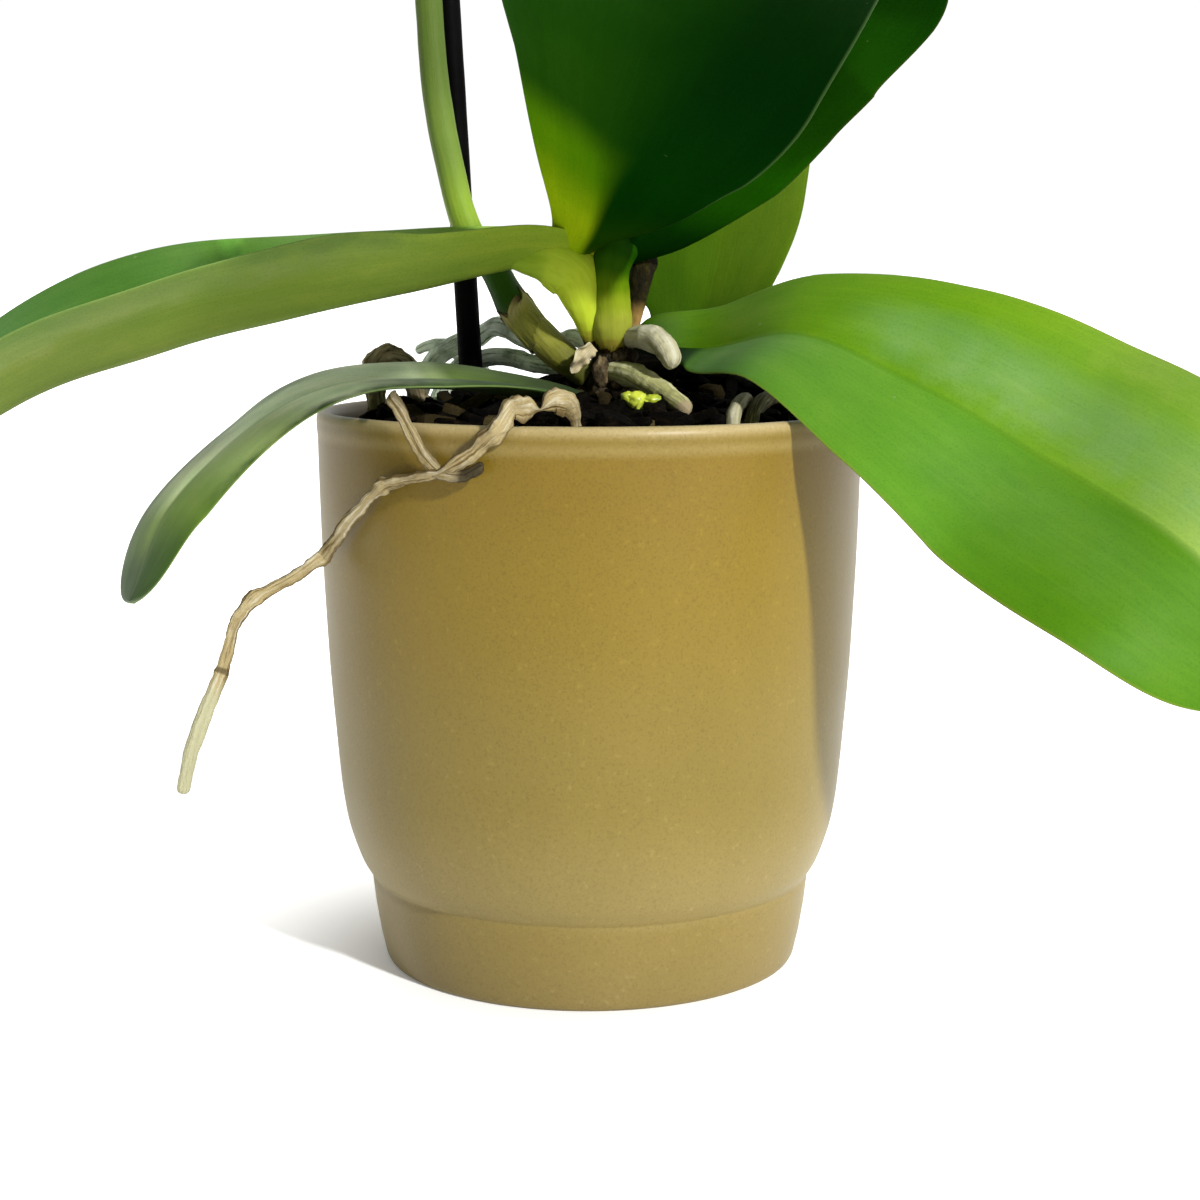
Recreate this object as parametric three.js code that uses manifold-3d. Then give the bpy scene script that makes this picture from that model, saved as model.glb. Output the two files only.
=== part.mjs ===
// A potted moth orchid: glazed cover pot, clear inner pot with bark, and the plant on its stake.
// Millimetres, +Z up. The origin is the middle of the pot's foot, and -Y is the front.
import * as THREE from "three";
import { mergeVertices } from "three/addons/utils/BufferGeometryUtils.js";
import Module from "manifold-3d";

const wasm = await Module();
wasm.setup();

// Cover pot
const RIM_RADIUS = 70;
const POT_HEIGHT = 143.5;
const FOOT_RADIUS = 54;
const FOOT_TOP = 21.6;
const POT_WALL = 4;
const POT_FLOOR = 6;

// Inner pot and bark
const INNER_POT_TOP = 139;
const INNER_POT_RIM = 64;
const INNER_POT_FOOT = 46;
const INNER_POT_WALL = 1;
const BARK_MIDDLE = 144.5;
const BARK_EDGE = 139.5;
const BARK_HEAP = { x: 18, y: 15, rise: 7, across: 26, deep: 12 };
const CHIPS = 14;

// Stake and spike
const STAKE_RADIUS = 3.1;
const STAKE_FOOT = [-24.3, 18, 14];
const STAKE_TOP = [-47.5, 18, 452];
const SPIKE_RADIUS = 3.7;
const RACHIS_RADIUS = 2;
const CLIP_HEIGHTS = [298, 405];
const CLIP_DEPTH = 5;
const CLIP_WALL = 1.2;

// Blooms and buds
const SEPAL_LENGTH = 35;
const PETAL_LENGTH = 38;
const PETAL_HALF_WIDTH = 21;
const TEPAL_THICKNESS = 1;
const BLOOM_BACK = 3.6;
const BUD_LENGTH = 17;

// Leaves
const BLADE_RIB = 2.4;
const BLADE_MARGIN = 1;
const TIP_CROWDING = 1.5;

// Clearance where one piece is cut round another
const GAP = 0.3;

const UP = new THREE.Vector3(0, 0, 1);
const degrees = THREE.MathUtils.degToRad;
const vector = (point) => new THREE.Vector3(...point);

const finish = (color, roughness, extra = {}) =>
  new THREE.MeshStandardMaterial({ color, roughness, metalness: 0, ...extra });
const materials = {
  glaze: finish(0xa58d50, 0.35),
  clear: finish(0xdfe6e4, 0.2, { transparent: true, opacity: 0.4 }),
  bark: finish(0x3a281b, 0.95),
  wood: finish(0x5f4d36, 0.9),
  sheath: finish(0x9fb52c, 0.45),
  leaf: finish(0x3f7d1e, 0.4),
  spike: finish(0x6d8f38, 0.5),
  stake: finish(0x101010, 0.6),
  clip: finish(0x2f5a2b, 0.4),
  paleRoot: finish(0xb5a98a, 0.8),
  greenRoot: finish(0x8c8d5b, 0.7),
  silverRoot: finish(0x8f9a8c, 0.85),
  dryRoot: finish(0xb9a274, 0.9),
  shoot: finish(0xb7cf2a, 0.5),
  bloom: finish(0xf4f3ec, 0.55),
  lip: finish(0xe9c84e, 0.5),
  bud: finish(0xd5dcae, 0.55),
};

// A smooth curve through points, and a smooth value through evenly spaced numbers.
const spline = (points) =>
  new THREE.CatmullRomCurve3(points.map(vector), false, "catmullrom", 0.5);
function along(values) {
  const curve = spline(values.map((value) => [value, 0, 0]));
  return (t) => curve.getPoint(t).x;
}

// The same draws on every run.
function seeded(seed) {
  let state = seed;
  return () => {
    state = (state * 1664525 + 1013904223) % 4294967296;
    return state / 4294967296;
  };
}

// Closed geometry as a solid that faces out.
function toSolid(geometry) {
  geometry.deleteAttribute("normal");
  geometry.deleteAttribute("uv");
  const merged = mergeVertices(geometry, 1e-4);
  const index = merged.index.array;
  const make = (first, second) => {
    const triangles = [];
    for (let i = 0; i < index.length; i += 3) {
      const [a, b, c] = [index[i], index[i + first], index[i + second]];
      if (a !== b && b !== c && c !== a) triangles.push(a, b, c);
    }
    const vertProperties = merged.attributes.position.array;
    return new wasm.Manifold(
      new wasm.Mesh({ numProp: 3, vertProperties, triVerts: new Uint32Array(triangles) }),
    );
  };
  const solid = make(1, 2);
  return solid.volume() < 0 ? make(2, 1) : solid;
}

function fromFaces(points, faces) {
  const geometry = new THREE.BufferGeometry().setFromPoints(points);
  geometry.setIndex(faces.flat());
  return toSolid(geometry);
}

// The geometry of a solid's largest body, so that a cut leaves no loose scrap.
function toGeometry(solid) {
  const bodies = solid.decompose().sort((a, b) => b.volume() - a.volume());
  const { numProp, numVert, vertProperties, triVerts } = bodies[0].getMesh();
  const positions = new Float32Array(numVert * 3);
  for (let i = 0; i < numVert; i += 1) {
    positions.set(vertProperties.subarray(i * numProp, i * numProp + 3), i * 3);
  }
  const geometry = new THREE.BufferGeometry();
  geometry.setAttribute("position", new THREE.BufferAttribute(positions, 3));
  geometry.setIndex(new THREE.BufferAttribute(triVerts, 1));
  geometry.computeVertexNormals();
  return geometry;
}

const join = (solids) => solids.reduce((whole, solid) => whole.add(solid));
const cut = (solid, cutters) => cutters.reduce((rest, cutter) => rest.subtract(cutter), solid);

const plant = new THREE.Group();
function place(name, solid, material, parent = plant) {
  const mesh = new THREE.Mesh(toGeometry(solid), materials[material]);
  mesh.name = name;
  parent.add(mesh);
  return mesh;
}

// A round stem or root along a curve. Its radii are spread evenly from start to end, and grow
// widens it all over for a hole that it stands in.
function tube({ points, radii, sides = 7, steps = 8, blunt = true }, grow = 0) {
  const curve = spline(points);
  const radiusAt = along(radii);
  const frames = curve.computeFrenetFrames(steps, false);
  const rings = [];
  const ring = (i, radius, shift) => {
    const centre = curve.getPointAt(i / steps).addScaledVector(frames.tangents[i], shift);
    for (let k = 0; k < sides; k += 1) {
      const angle = (2 * Math.PI * k) / sides;
      rings.push(
        centre
          .clone()
          .addScaledVector(frames.normals[i], radius * Math.cos(angle))
          .addScaledVector(frames.binormals[i], radius * Math.sin(angle)),
      );
    }
  };
  for (let i = 0; i <= steps; i += 1) {
    const end = i === 0 ? -grow : i === steps ? grow : 0;
    ring(i, radiusAt(i / steps) + grow, blunt && i === steps ? 0 : end);
  }
  const last = radiusAt(1) + grow;
  if (blunt) ring(steps, last * 0.6, last * 0.55);
  const count = rings.length / sides;
  const faces = [];
  for (let i = 0; i < count - 1; i += 1) {
    for (let k = 0; k < sides; k += 1) {
      const a = i * sides + k;
      const b = i * sides + ((k + 1) % sides);
      faces.push([a, b, b + sides], [a, b + sides, a + sides]);
    }
  }
  const top = (count - 1) * sides;
  for (let k = 1; k < sides - 1; k += 1) {
    faces.push([0, k + 1, k], [top, top + k, top + k + 1]);
  }
  return fromFaces(rings, faces);
}

// Half the width of a blade: it widens smoothly to its widest place, then rounds off to its tip.
function halfWidth({ petiole, widest, at, blunt = 2.3, tip = 1.2 }, t) {
  if (t < at) {
    const rise = THREE.MathUtils.smoothstep(t, 0, at);
    return petiole + (widest - petiole) * rise;
  }
  const fall = (t - at) / (1 - at);
  return Math.max(widest * Math.sqrt(Math.max(1 - fall ** blunt, 0)), tip);
}

// A leaf or tepal: a midrib curve, a half width, a roll about the midrib, and a fold of each half.
// It is a closed body with both faces split into triangles alike, more finely towards the tip.
function blade(leaf, grow = 0) {
  const { stations = [-1, -0.66, -0.3, 0, 0.3, 0.66, 1], steps = 13, arch = 0.05 } = leaf;
  const { rib = BLADE_RIB, margin = BLADE_MARGIN } = leaf;
  const curve = spline(leaf.spine);
  const rollAt = along(leaf.roll);
  const foldAt = along(leaf.fold);
  const heading = vector(leaf.spine.at(-1)).sub(vector(leaf.spine[0])).setZ(0).normalize();
  const left = new THREE.Vector3().crossVectors(UP, heading);
  const points = [];
  for (let i = 0; i <= steps; i += 1) {
    const t = 1 - (1 - i / steps) ** TIP_CROWDING;
    const centre = curve.getPoint(t);
    const forward = curve.getTangent(t);
    if (i === 0) centre.addScaledVector(forward, -grow);
    if (i === steps) centre.addScaledVector(forward, grow);
    const flat = left.clone().addScaledVector(forward, -forward.dot(left)).normalize();
    const lift = new THREE.Vector3().crossVectors(forward, flat);
    const roll = degrees(rollAt(t));
    const fold = degrees(foldAt(t));
    const side = flat.clone().multiplyScalar(Math.cos(roll)).addScaledVector(lift, Math.sin(roll));
    const face = lift.clone().multiplyScalar(Math.cos(roll)).addScaledVector(flat, -Math.sin(roll));
    const half = halfWidth(leaf, t) + grow;
    const thin = 1 - 0.4 * t ** 4;
    for (const sign of [0.5, -0.5]) {
      for (const v of stations) {
        const rise = half * (Math.abs(v) * Math.sin(fold) - arch * v * v);
        const thickness = (rib + (margin - rib) * v * v) * thin + 2 * grow;
        const point = centre.clone().addScaledVector(side, half * v * Math.cos(fold));
        point.addScaledVector(face, rise + sign * thickness * Math.cos(fold));
        point.addScaledVector(side, -Math.sign(v) * sign * thickness * Math.sin(fold));
        points.push(point);
      }
    }
  }
  const n = stations.length;
  const id = (i, under, j) => (2 * i + under) * n + j;
  const faces = [];
  const quad = (a, b, c, d) => faces.push([a, b, c], [a, c, d]);
  for (let i = 0; i < steps; i += 1) {
    for (let j = 0; j < n - 1; j += 1) {
      quad(id(i, 0, j), id(i + 1, 0, j), id(i + 1, 0, j + 1), id(i, 0, j + 1));
      faces.push([id(i, 1, j), id(i + 1, 1, j + 1), id(i + 1, 1, j)]);
      faces.push([id(i, 1, j), id(i, 1, j + 1), id(i + 1, 1, j + 1)]);
    }
    quad(id(i, 0, 0), id(i, 1, 0), id(i + 1, 1, 0), id(i + 1, 0, 0));
    quad(id(i, 0, n - 1), id(i + 1, 0, n - 1), id(i + 1, 1, n - 1), id(i, 1, n - 1));
  }
  for (let j = 0; j < n - 1; j += 1) {
    quad(id(0, 0, j), id(0, 0, j + 1), id(0, 1, j + 1), id(0, 1, j));
    quad(id(steps, 0, j), id(steps, 1, j), id(steps, 1, j + 1), id(steps, 0, j + 1));
  }
  return fromFaces(points, faces);
}

function lathe(profile, sides) {
  return toSolid(new THREE.LatheGeometry(profile, sides).rotateX(Math.PI / 2));
}
const profilePoints = (pairs) => pairs.map(([radius, height]) => new THREE.Vector2(radius, height));

// A small rounded lump, stretched to its half sizes.
function lump(centre, halves, turn = 0) {
  const geometry = new THREE.IcosahedronGeometry(1, 0).scale(...halves).rotateZ(turn);
  return toSolid(geometry.translate(...centre));
}

// Cover pot: a slightly tapered foot, a step, a belly that rises to the rim, and a rounded lip.
const outsideOfPot = [
  [0, 0],
  [FOOT_RADIUS - 1, 0],
  [FOOT_RADIUS + 0.4, 1.6],
  [56, 10],
  [57.6, FOOT_TOP],
  [58.4, 23.6],
  [60.6, 27.7],
  [62.7, 34],
  [64.8, 44],
  [66.7, 64],
  [68.6, 96],
  [69.6, 130],
];
const lipOfPot = [
  [RIM_RADIUS, POT_HEIGHT - 3],
  [RIM_RADIUS - 0.6, POT_HEIGHT - 0.8],
  [RIM_RADIUS - 2, POT_HEIGHT],
  [RIM_RADIUS - 3.5, POT_HEIGHT - 0.9],
];
const insideOfPot = [
  [RIM_RADIUS - POT_WALL - 0.2, POT_HEIGHT - 4],
  [62.7 - POT_WALL, 34],
  [48, POT_FLOOR],
  [0, POT_FLOOR],
];
const potProfile = profilePoints([...outsideOfPot, ...lipOfPot, ...insideOfPot]);
place("cover_pot", lathe(potProfile, 36), "glaze");

// Inner pot: a thin tapered cup with a rolled rim, standing on the cover pot's floor.
const innerSlope = (INNER_POT_RIM - 2.4 - INNER_POT_FOOT) / (INNER_POT_TOP - 3 - POT_FLOOR);
const innerRadius = (z) => INNER_POT_FOOT + innerSlope * (z - POT_FLOOR);
const innerPotProfile = profilePoints([
  [0, POT_FLOOR],
  [INNER_POT_FOOT, POT_FLOOR],
  [innerRadius(INNER_POT_TOP - 3), INNER_POT_TOP - 3],
  [INNER_POT_RIM, INNER_POT_TOP - 2.6],
  [INNER_POT_RIM, INNER_POT_TOP],
  [innerRadius(INNER_POT_TOP) - INNER_POT_WALL, INNER_POT_TOP],
  [INNER_POT_FOOT - INNER_POT_WALL, POT_FLOOR + INNER_POT_WALL],
  [0, POT_FLOOR + INNER_POT_WALL],
]);
place("inner_pot", lathe(innerPotProfile, 32), "clear");

// Leaves. Each spine runs from the crown to the tip, and the lists are spread evenly along it.
const leaves = {
  leaf_front: {
    spine: [
      [-4, -4, 181], [1, -21, 191], [8, -47, 212], [16, -78, 230], [21, -119, 236],
      [26, -160, 236], [27, -199, 227],
    ],
    roll: [-6, -36, -13, 0],
    fold: [36, 8, 4, 8],
    petiole: 8.5,
    widest: 39.3,
    at: 0.49,
  },
  leaf_right_upper: {
    spine: [
      [4, -4, 181], [14, -12, 190], [24, -26, 207], [33, -41, 225], [45, -60, 236],
      [60, -71, 245], [66, -84, 251],
    ],
    roll: [-40, -50, -49, -40],
    fold: [35, 12, 7, 8],
    petiole: 8.1,
    widest: 30,
    at: 0.5,
  },
  leaf_back: {
    spine: [
      [11, 5, 162], [25, 12, 165], [34, 24, 179], [38, 41, 199], [42, 60, 220],
      [46, 82, 238], [49, 106, 250],
    ],
    roll: [0, -4, -3, 0],
    fold: [40, 26, 14, 10],
    petiole: 7,
    widest: 30,
    at: 0.52,
  },
  leaf_right: {
    spine: [
      [12, -3, 159.5], [30, -5, 158], [50, -24, 163], [75, -38, 153], [103, -51, 136],
      [133, -79, 116], [163, -84, 88],
    ],
    roll: [36, 34, 42, 45],
    fold: [12, 15, 11, 3],
    petiole: 9.5,
    widest: 40.1,
    at: 0.69,
    arch: 0.08,
  },
  leaf_left: {
    spine: [
      [-4, -4, 177], [-17, -6, 179], [-45, -11, 174], [-72, -20, 167], [-102, -29, 159],
      [-136, -36, 147], [-167, -41, 128],
    ],
    roll: [-2, -1, -6, -2],
    fold: [52, 39, 36, 34],
    petiole: 11.2,
    widest: 38.1,
    at: 0.63,
  },
  leaf_old: {
    spine: [
      [1, -7.6, 144], [-16, -19, 148], [-37, -31, 152], [-60, -37, 152], [-79, -47, 142],
      [-98, -54, 122], [-105.4, -66, 102.6],
    ],
    roll: [-17, -9, 1, -3],
    fold: [39, 13, 1, -1],
    petiole: 6,
    widest: 20,
    at: 0.65,
    blunt: 3,
  },
};

// Short woody stem, from deep in the bark to the lowest sheath, with old leaf scars as lumps.
const stemShape = {
  points: [[1, 2, 104], [2, 0, 124], [3.5, -2, 142], [4.5, -2, 152], [5, -1, 161]],
  radii: [4, 6.5, 6.8, 5.4, 4.2],
  steps: 8,
  blunt: false,
};
const stemScars = [
  [[3, -6.8, 153], [2.3, 2.1, 4.1]],
  [[7.4, -6.4, 151], [2, 1.8, 2.6]],
  [[7.6, -6.2, 157], [1.9, 1.8, 1.7]],
  [[3.4, -7.4, 147.6], [2.2, 1.7, 1.4]],
  [[0, 3, 150], [3, 2.4, 3]],
  [[7, 3.5, 147], [2.8, 2.8, 3.2]],
  [[-2, -2, 146], [2.4, 2.8, 3]],
];
const stem = join([tube(stemShape), ...stemScars.map(([centre, halves]) => lump(centre, halves))]);
const stemHole = join([
  tube(stemShape, GAP),
  ...stemScars.map(([centre, halves]) => lump(centre, halves.map((half) => half + 1.3 * GAP))),
]);

// Yellow-green sheaths: two at the front that run up into leaf bases, and one behind.
const sheathShapes = [
  {
    points: [
      [0, -2, 160], [-1.2, -3.4, 165], [-2.6, -5, 170.5], [-6, -6, 176], [-12, -6, 180.6],
      [-20, -6.4, 183.8],
    ],
    radii: [2.4, 4, 5.8, 6.2, 5.2, 2],
  },
  {
    points: [
      [5.5, -3, 158.5], [5.6, -4, 163], [5.2, -4.6, 169], [5, -4.8, 177], [7.4, -6, 184],
      [12, -8.6, 190.4],
    ],
    radii: [3.6, 5.5, 5.4, 5.2, 4.8, 2],
  },
  {
    points: [[4, 2.5, 157.5], [5, 4, 163], [5, 4, 170], [1, 1, 179]],
    radii: [3.6, 5.4, 6, 5.4],
  },
];
const sheathTube = (shape, grow) => tube({ ...shape, sides: 9, steps: 6 }, grow);
const sheaths = join(sheathShapes.map((shape) => sheathTube(shape, 0)));
const sheathHole = join(sheathShapes.map((shape) => sheathTube(shape, GAP)));

place("sheaths", sheaths, "sheath");
place("stem", cut(stem, [sheathHole]), "wood");

// Leaf blades, each cut clear of the crown and of the leaves before it.
const crownHole = sheathHole.add(stemHole);
const paleRoot = {
  points: [
    [9, -3, 159.6], [12, -8.4, 161.4], [15.2, -13, 162], [18.6, -17, 160.6],
    [21.6, -20.6, 157.4], [22.7, -22.4, 154.4],
  ],
  radii: [2.8, 3.4, 3.5, 3.3, 2.6],
  steps: 10,
  material: "paleRoot",
};
const greenRoot = {
  points: [[4, -3, 154], [11.5, -11, 153], [17.6, -18, 149.8], [22.4, -24, 146.8], [24.8, -27.4, 145]],
  radii: [2.6, 3, 2.7, 2.2, 1.8],
  material: "greenRoot",
};
const paleRootHole = tube(paleRoot, GAP);
const greenRootHole = tube(greenRoot, GAP);
const leafHoles = {};
const cutBefore = {
  leaf_front: [],
  leaf_left: ["leaf_front"],
  leaf_right_upper: ["leaf_front", "leaf_left"],
  leaf_right: ["leaf_right_upper"],
  leaf_back: ["leaf_right_upper", "leaf_right", "leaf_front"],
  leaf_old: [],
};
for (const [name, others] of Object.entries(cutBefore)) {
  const holes = others.map((other) => leafHoles[other]);
  const around = [crownHole, paleRootHole, greenRootHole, ...holes];
  place(name, cut(blade(leaves[name]), around), "leaf");
  leafHoles[name] = blade(leaves[name], GAP);
}

// Stake: a plain rod that leans a little, pushed deep into the bark.
function rod(foot, top, radius, sides = 12) {
  const axis = vector(top).sub(vector(foot));
  const geometry = new THREE.CylinderGeometry(radius, radius, axis.length(), sides);
  geometry.applyQuaternion(
    new THREE.Quaternion().setFromUnitVectors(new THREE.Vector3(0, 1, 0), axis.normalize()),
  );
  const middle = vector(foot).add(vector(top)).multiplyScalar(0.5);
  return toSolid(geometry.translate(...middle));
}
place("stake", rod(STAKE_FOOT, STAKE_TOP, STAKE_RADIUS), "stake");
const [stakeX, stakeY, stakeZ] = STAKE_FOOT;
const stakeHole = rod([stakeX, stakeY, stakeZ - GAP], STAKE_TOP, STAKE_RADIUS + GAP);

// Flower spike: it leaves the stem, turns up at its first node, runs up the stake and arches over.
const spikePoints = [
  [0, -1.6, 151.6], [-6.9, 0, 156.2], [-12.8, 3, 162], [-18.6, 6, 167.8], [-25.1, 9.5, 179.1],
  [-32.1, 10, 190], [-36.4, 10, 206.7], [-39.2, 10, 221.8], [-40.4, 10, 234.3],
  [-41.1, 10, 246.7], [-43.9, 10, 298], [-46.7, 10, 350], [-49.6, 10, 405], [-49, 8, 446],
  [-36, 2, 488], [-9, -4, 514], [24, -10, 524], [56, -16, 522], [86, -21, 510],
  [112, -25, 492], [134, -28, 468], [148, -30, 440],
];
const SPIKE_SPANS = spikePoints.length - 1;
const spikeCurve = spline(spikePoints);
const spike = {
  points: spikePoints,
  radii: [SPIKE_RADIUS, SPIKE_RADIUS, 3.3, 3, 2.8, 2.6, 2.2, RACHIS_RADIUS, 1.7, 1.2],
  steps: 40,
};
const spikePieces = [tube(spike)];
const spikeHoles = [tube(spike, GAP)];

// The bract that wraps the spike up to its first node, and the swelling there.
const firstBract = {
  points: [[-4, -0.6, 154.2], [-9, 1, 158.2], [-14, 3.7, 163.2], [-18.6, 6, 167.8]],
  radii: [3.9, 4.2, 4.3, 4.6],
  steps: 5,
};
spikePieces.push(tube(firstBract));
spikeHoles.push(tube(firstBract, GAP));

// Later nodes: a swelling with a small pointed bract on one side.
function spikeNode(t, side) {
  const centre = spikeCurve.getPoint(t);
  const forward = spikeCurve.getTangent(t);
  const out = new THREE.Vector3(side, -0.4, 0);
  out.addScaledVector(forward, -out.dot(forward)).normalize();
  const point = (up, away) =>
    centre.clone().addScaledVector(forward, up).addScaledVector(out, away).toArray();
  const swelling = {
    points: [point(-5, 0), point(0, 0.3), point(5, 0)],
    radii: [2.4, 3.6, 2.4],
    steps: 3,
    blunt: false,
  };
  const bract = {
    points: [point(-3, 1.5), point(3, 3), point(9, 4.6), point(14, 4.8)],
    radii: [2, 2.2, 1.5, 0.7],
    sides: 6,
    steps: 3,
  };
  return join([tube(swelling), tube(bract)]);
}
spikePieces.push(spikeNode(10.7 / SPIKE_SPANS, -1), spikeNode(12.4 / SPIKE_SPANS, 1));

// Clips: a band of plastic with one round hole for the stake and one for the spike.
const stakeAt = (z) => {
  const share = (z - STAKE_FOOT[2]) / (STAKE_TOP[2] - STAKE_FOOT[2]);
  return vector(STAKE_FOOT).lerp(vector(STAKE_TOP), share);
};
function spikeAt(z) {
  let low = 0.3;
  let high = 0.6;
  for (let i = 0; i < 30; i += 1) {
    const middle = (low + high) / 2;
    if (spikeCurve.getPoint(middle).z < z) low = middle;
    else high = middle;
  }
  return spikeCurve.getPoint(low);
}
function clip(z) {
  const stakeCentre = stakeAt(z);
  const spikeCentre = spikeAt(z);
  const reach = spikeCentre.clone().sub(stakeCentre).setZ(0).length();
  const stakeHoleRadius = STAKE_RADIUS + 0.5;
  const spikeHoleRadius = 3.6;
  const outline = new THREE.Shape();
  outline.absarc(0, 0, stakeHoleRadius + CLIP_WALL, Math.PI / 2, (3 * Math.PI) / 2, false);
  outline.absarc(reach, 0, spikeHoleRadius + CLIP_WALL, -Math.PI / 2, Math.PI / 2, false);
  const holes = [[0, stakeHoleRadius], [reach, spikeHoleRadius]].map(([x, radius]) => {
    const path = new THREE.Path();
    return path.absarc(x, 0, radius, 0, 2 * Math.PI, true);
  });
  outline.holes.push(...holes);
  const geometry = new THREE.ExtrudeGeometry(outline, {
    depth: CLIP_DEPTH,
    bevelEnabled: false,
    curveSegments: 6,
  });
  const turn = Math.atan2(spikeCentre.y - stakeCentre.y, spikeCentre.x - stakeCentre.x);
  geometry.rotateZ(turn);
  return toSolid(geometry.translate(stakeCentre.x, stakeCentre.y, z - CLIP_DEPTH / 2));
}
CLIP_HEIGHTS.forEach((z, i) => place(`clip_${i + 1}`, clip(z), "clip"));

// One bloom, facing +Z with its top towards +Y: three sepals behind, two broad petals in front.
const tepal = (angle, base, length, lift, bend, shape) => {
  const direction = [Math.cos(degrees(angle)), Math.sin(degrees(angle))];
  const point = (share, height) => [
    direction[0] * (base + (length - base) * share),
    direction[1] * (base + (length - base) * share),
    height,
  ];
  return blade({
    spine: [point(0, lift), point(0.5, lift + bend), point(1, lift + 0.2 * bend)],
    roll: [0, 0],
    fold: [4, 0],
    rib: TEPAL_THICKNESS + 0.2,
    margin: TEPAL_THICKNESS - 0.1,
    arch: 0.06,
    tip: 2,
    ...shape,
  });
};
const sepalShape = { petiole: 3, widest: 13.5, at: 0.5, blunt: 2.2, steps: 4, stations: [-1, 0, 1] };
const petalShape = {
  petiole: 3.2,
  widest: PETAL_HALF_WIDTH,
  at: 0.55,
  blunt: 3,
  steps: 4,
  stations: [-1, -0.5, 0, 0.5, 1],
};
const columnShape = {
  points: [[0, 0, -2.5], [0, 0.4, 2], [0, 1.8, 6], [0, 2.6, 9.4]],
  radii: [4, 3.4, 2.7, 2.6],
  sides: 6,
  steps: 3,
};
const bloomSolid = join([
  tepal(90, 2.2, SEPAL_LENGTH, -1.6, -1.5, sepalShape),
  tepal(214, 2.2, SEPAL_LENGTH, -1.6, -1.5, sepalShape),
  tepal(326, 2.2, SEPAL_LENGTH, -1.6, -1.5, sepalShape),
  tepal(10, 2.2, PETAL_LENGTH, 0.6, 1.8, petalShape),
  tepal(170, 2.2, PETAL_LENGTH, 0.6, 1.8, petalShape),
  tube(columnShape),
]);

// The lip: a keel that points forward and down, two raised side lobes and two fine tendrils.
const keelShape = {
  spine: [[0, -3.4, 2.6], [0, -8, 6.5], [0, -15, 8.5], [0, -22, 7]],
  roll: [0, 0],
  fold: [18, -12],
  petiole: 2.6,
  widest: 7,
  at: 0.45,
  blunt: 1.4,
  tip: 1.1,
  rib: 2,
  margin: 1,
  stations: [-1, 0, 1],
  steps: 4,
};
const sideLobe = (side) =>
  tube({
    points: [[1.6, -5.4, 4.6], [5.4, -6, 8], [6.6, -3.6, 12], [4.6, -1.6, 14.4]].map(
      ([x, y, z]) => [side * x, y, z],
    ),
    radii: [1.6, 3, 2.8, 1.2],
    sides: 5,
    steps: 2,
    blunt: false,
  });
const lipPieces = [blade(keelShape), sideLobe(-1), sideLobe(1)];
const lipSolid = cut(join(lipPieces), [tube(columnShape, GAP)]);

// Where each bloom hangs: its place on the spike, its centre, and how far it is turned and nods.
const blooms = [
  { stalk: 13.2, centre: [-70, -14, 452], turn: -16, nod: 6, size: 1 },
  { stalk: 14.1, centre: [4, -24, 462], turn: 8, nod: 10, size: 1 },
  { stalk: 14.9, centre: [-44, -26, 530], turn: -12, nod: 4, size: 0.99 },
  { stalk: 16, centre: [68, -36, 476], turn: 10, nod: 10, size: 0.98 },
  { stalk: 16.8, centre: [36, -36, 556], turn: -2, nod: 4, size: 0.96 },
];
const buds = [
  { stalk: 17.8, centre: [98, -40, 536], size: 1 },
  { stalk: 18.6, centre: [108, -46, 474], size: 0.95 },
  { stalk: 19.6, centre: [140, -44, 494], size: 0.85 },
  { stalk: 20.5, centre: [132, -42, 442], size: 0.75 },
];

// A stalk that leaves the spike sideways and ends behind what it carries.
function stalk(share, end, facing, radii) {
  const start = spikeCurve.getPoint(share / SPIKE_SPANS);
  const gap = start.distanceTo(end);
  const aside = end.clone().sub(start).normalize();
  const bezier = new THREE.CubicBezierCurve3(
    start,
    start.clone().addScaledVector(aside, gap * 0.35),
    end.clone().addScaledVector(facing, -gap * 0.4),
    end,
  );
  const points = bezier.getPoints(4).map((point) => point.toArray());
  return tube({ points, radii, sides: 5, steps: 4, blunt: false });
}

blooms.forEach(({ stalk: share, centre, turn, nod, size }, i) => {
  const group = new THREE.Group();
  group.position.set(...centre);
  group.rotation.set(degrees(90 - nod), 0, degrees(turn), "ZXY");
  group.scale.setScalar(size);
  group.updateMatrixWorld();
  place(`bloom_${i + 1}`, bloomSolid, "bloom", group);
  place(`lip_${i + 1}`, lipSolid, "lip", group);
  plant.add(group);
  const facing = new THREE.Vector3(0, 0, 1).applyQuaternion(group.quaternion);
  const end = vector(centre).addScaledVector(facing, -(BLOOM_BACK * size + GAP));
  spikePieces.push(stalk(share, end, facing, [1.4, 1.4, 1.6, 2.2]));
});

buds.forEach(({ stalk: share, centre, size }, i) => {
  const start = spikeCurve.getPoint(share / SPIKE_SPANS);
  const facing = vector(centre).sub(start).setZ(-4).normalize();
  const length = BUD_LENGTH * size;
  const profile = profilePoints([
    [0, 0],
    [length * 0.16, length * 0.03],
    [length * 0.33, length * 0.28],
    [length * 0.37, length * 0.52],
    [length * 0.27, length * 0.82],
    [length * 0.1, length * 0.97],
    [0, length],
  ]);
  const geometry = new THREE.LatheGeometry(profile, 7);
  geometry.applyQuaternion(
    new THREE.Quaternion().setFromUnitVectors(new THREE.Vector3(0, 1, 0), facing),
  );
  place(`bud_${i + 1}`, toSolid(geometry.translate(...centre)), "bud");
  const end = vector(centre).addScaledVector(facing, -GAP);
  spikePieces.push(stalk(share, end, facing, [1.1, 1.1, 1.2, 1.3]));
});

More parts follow.
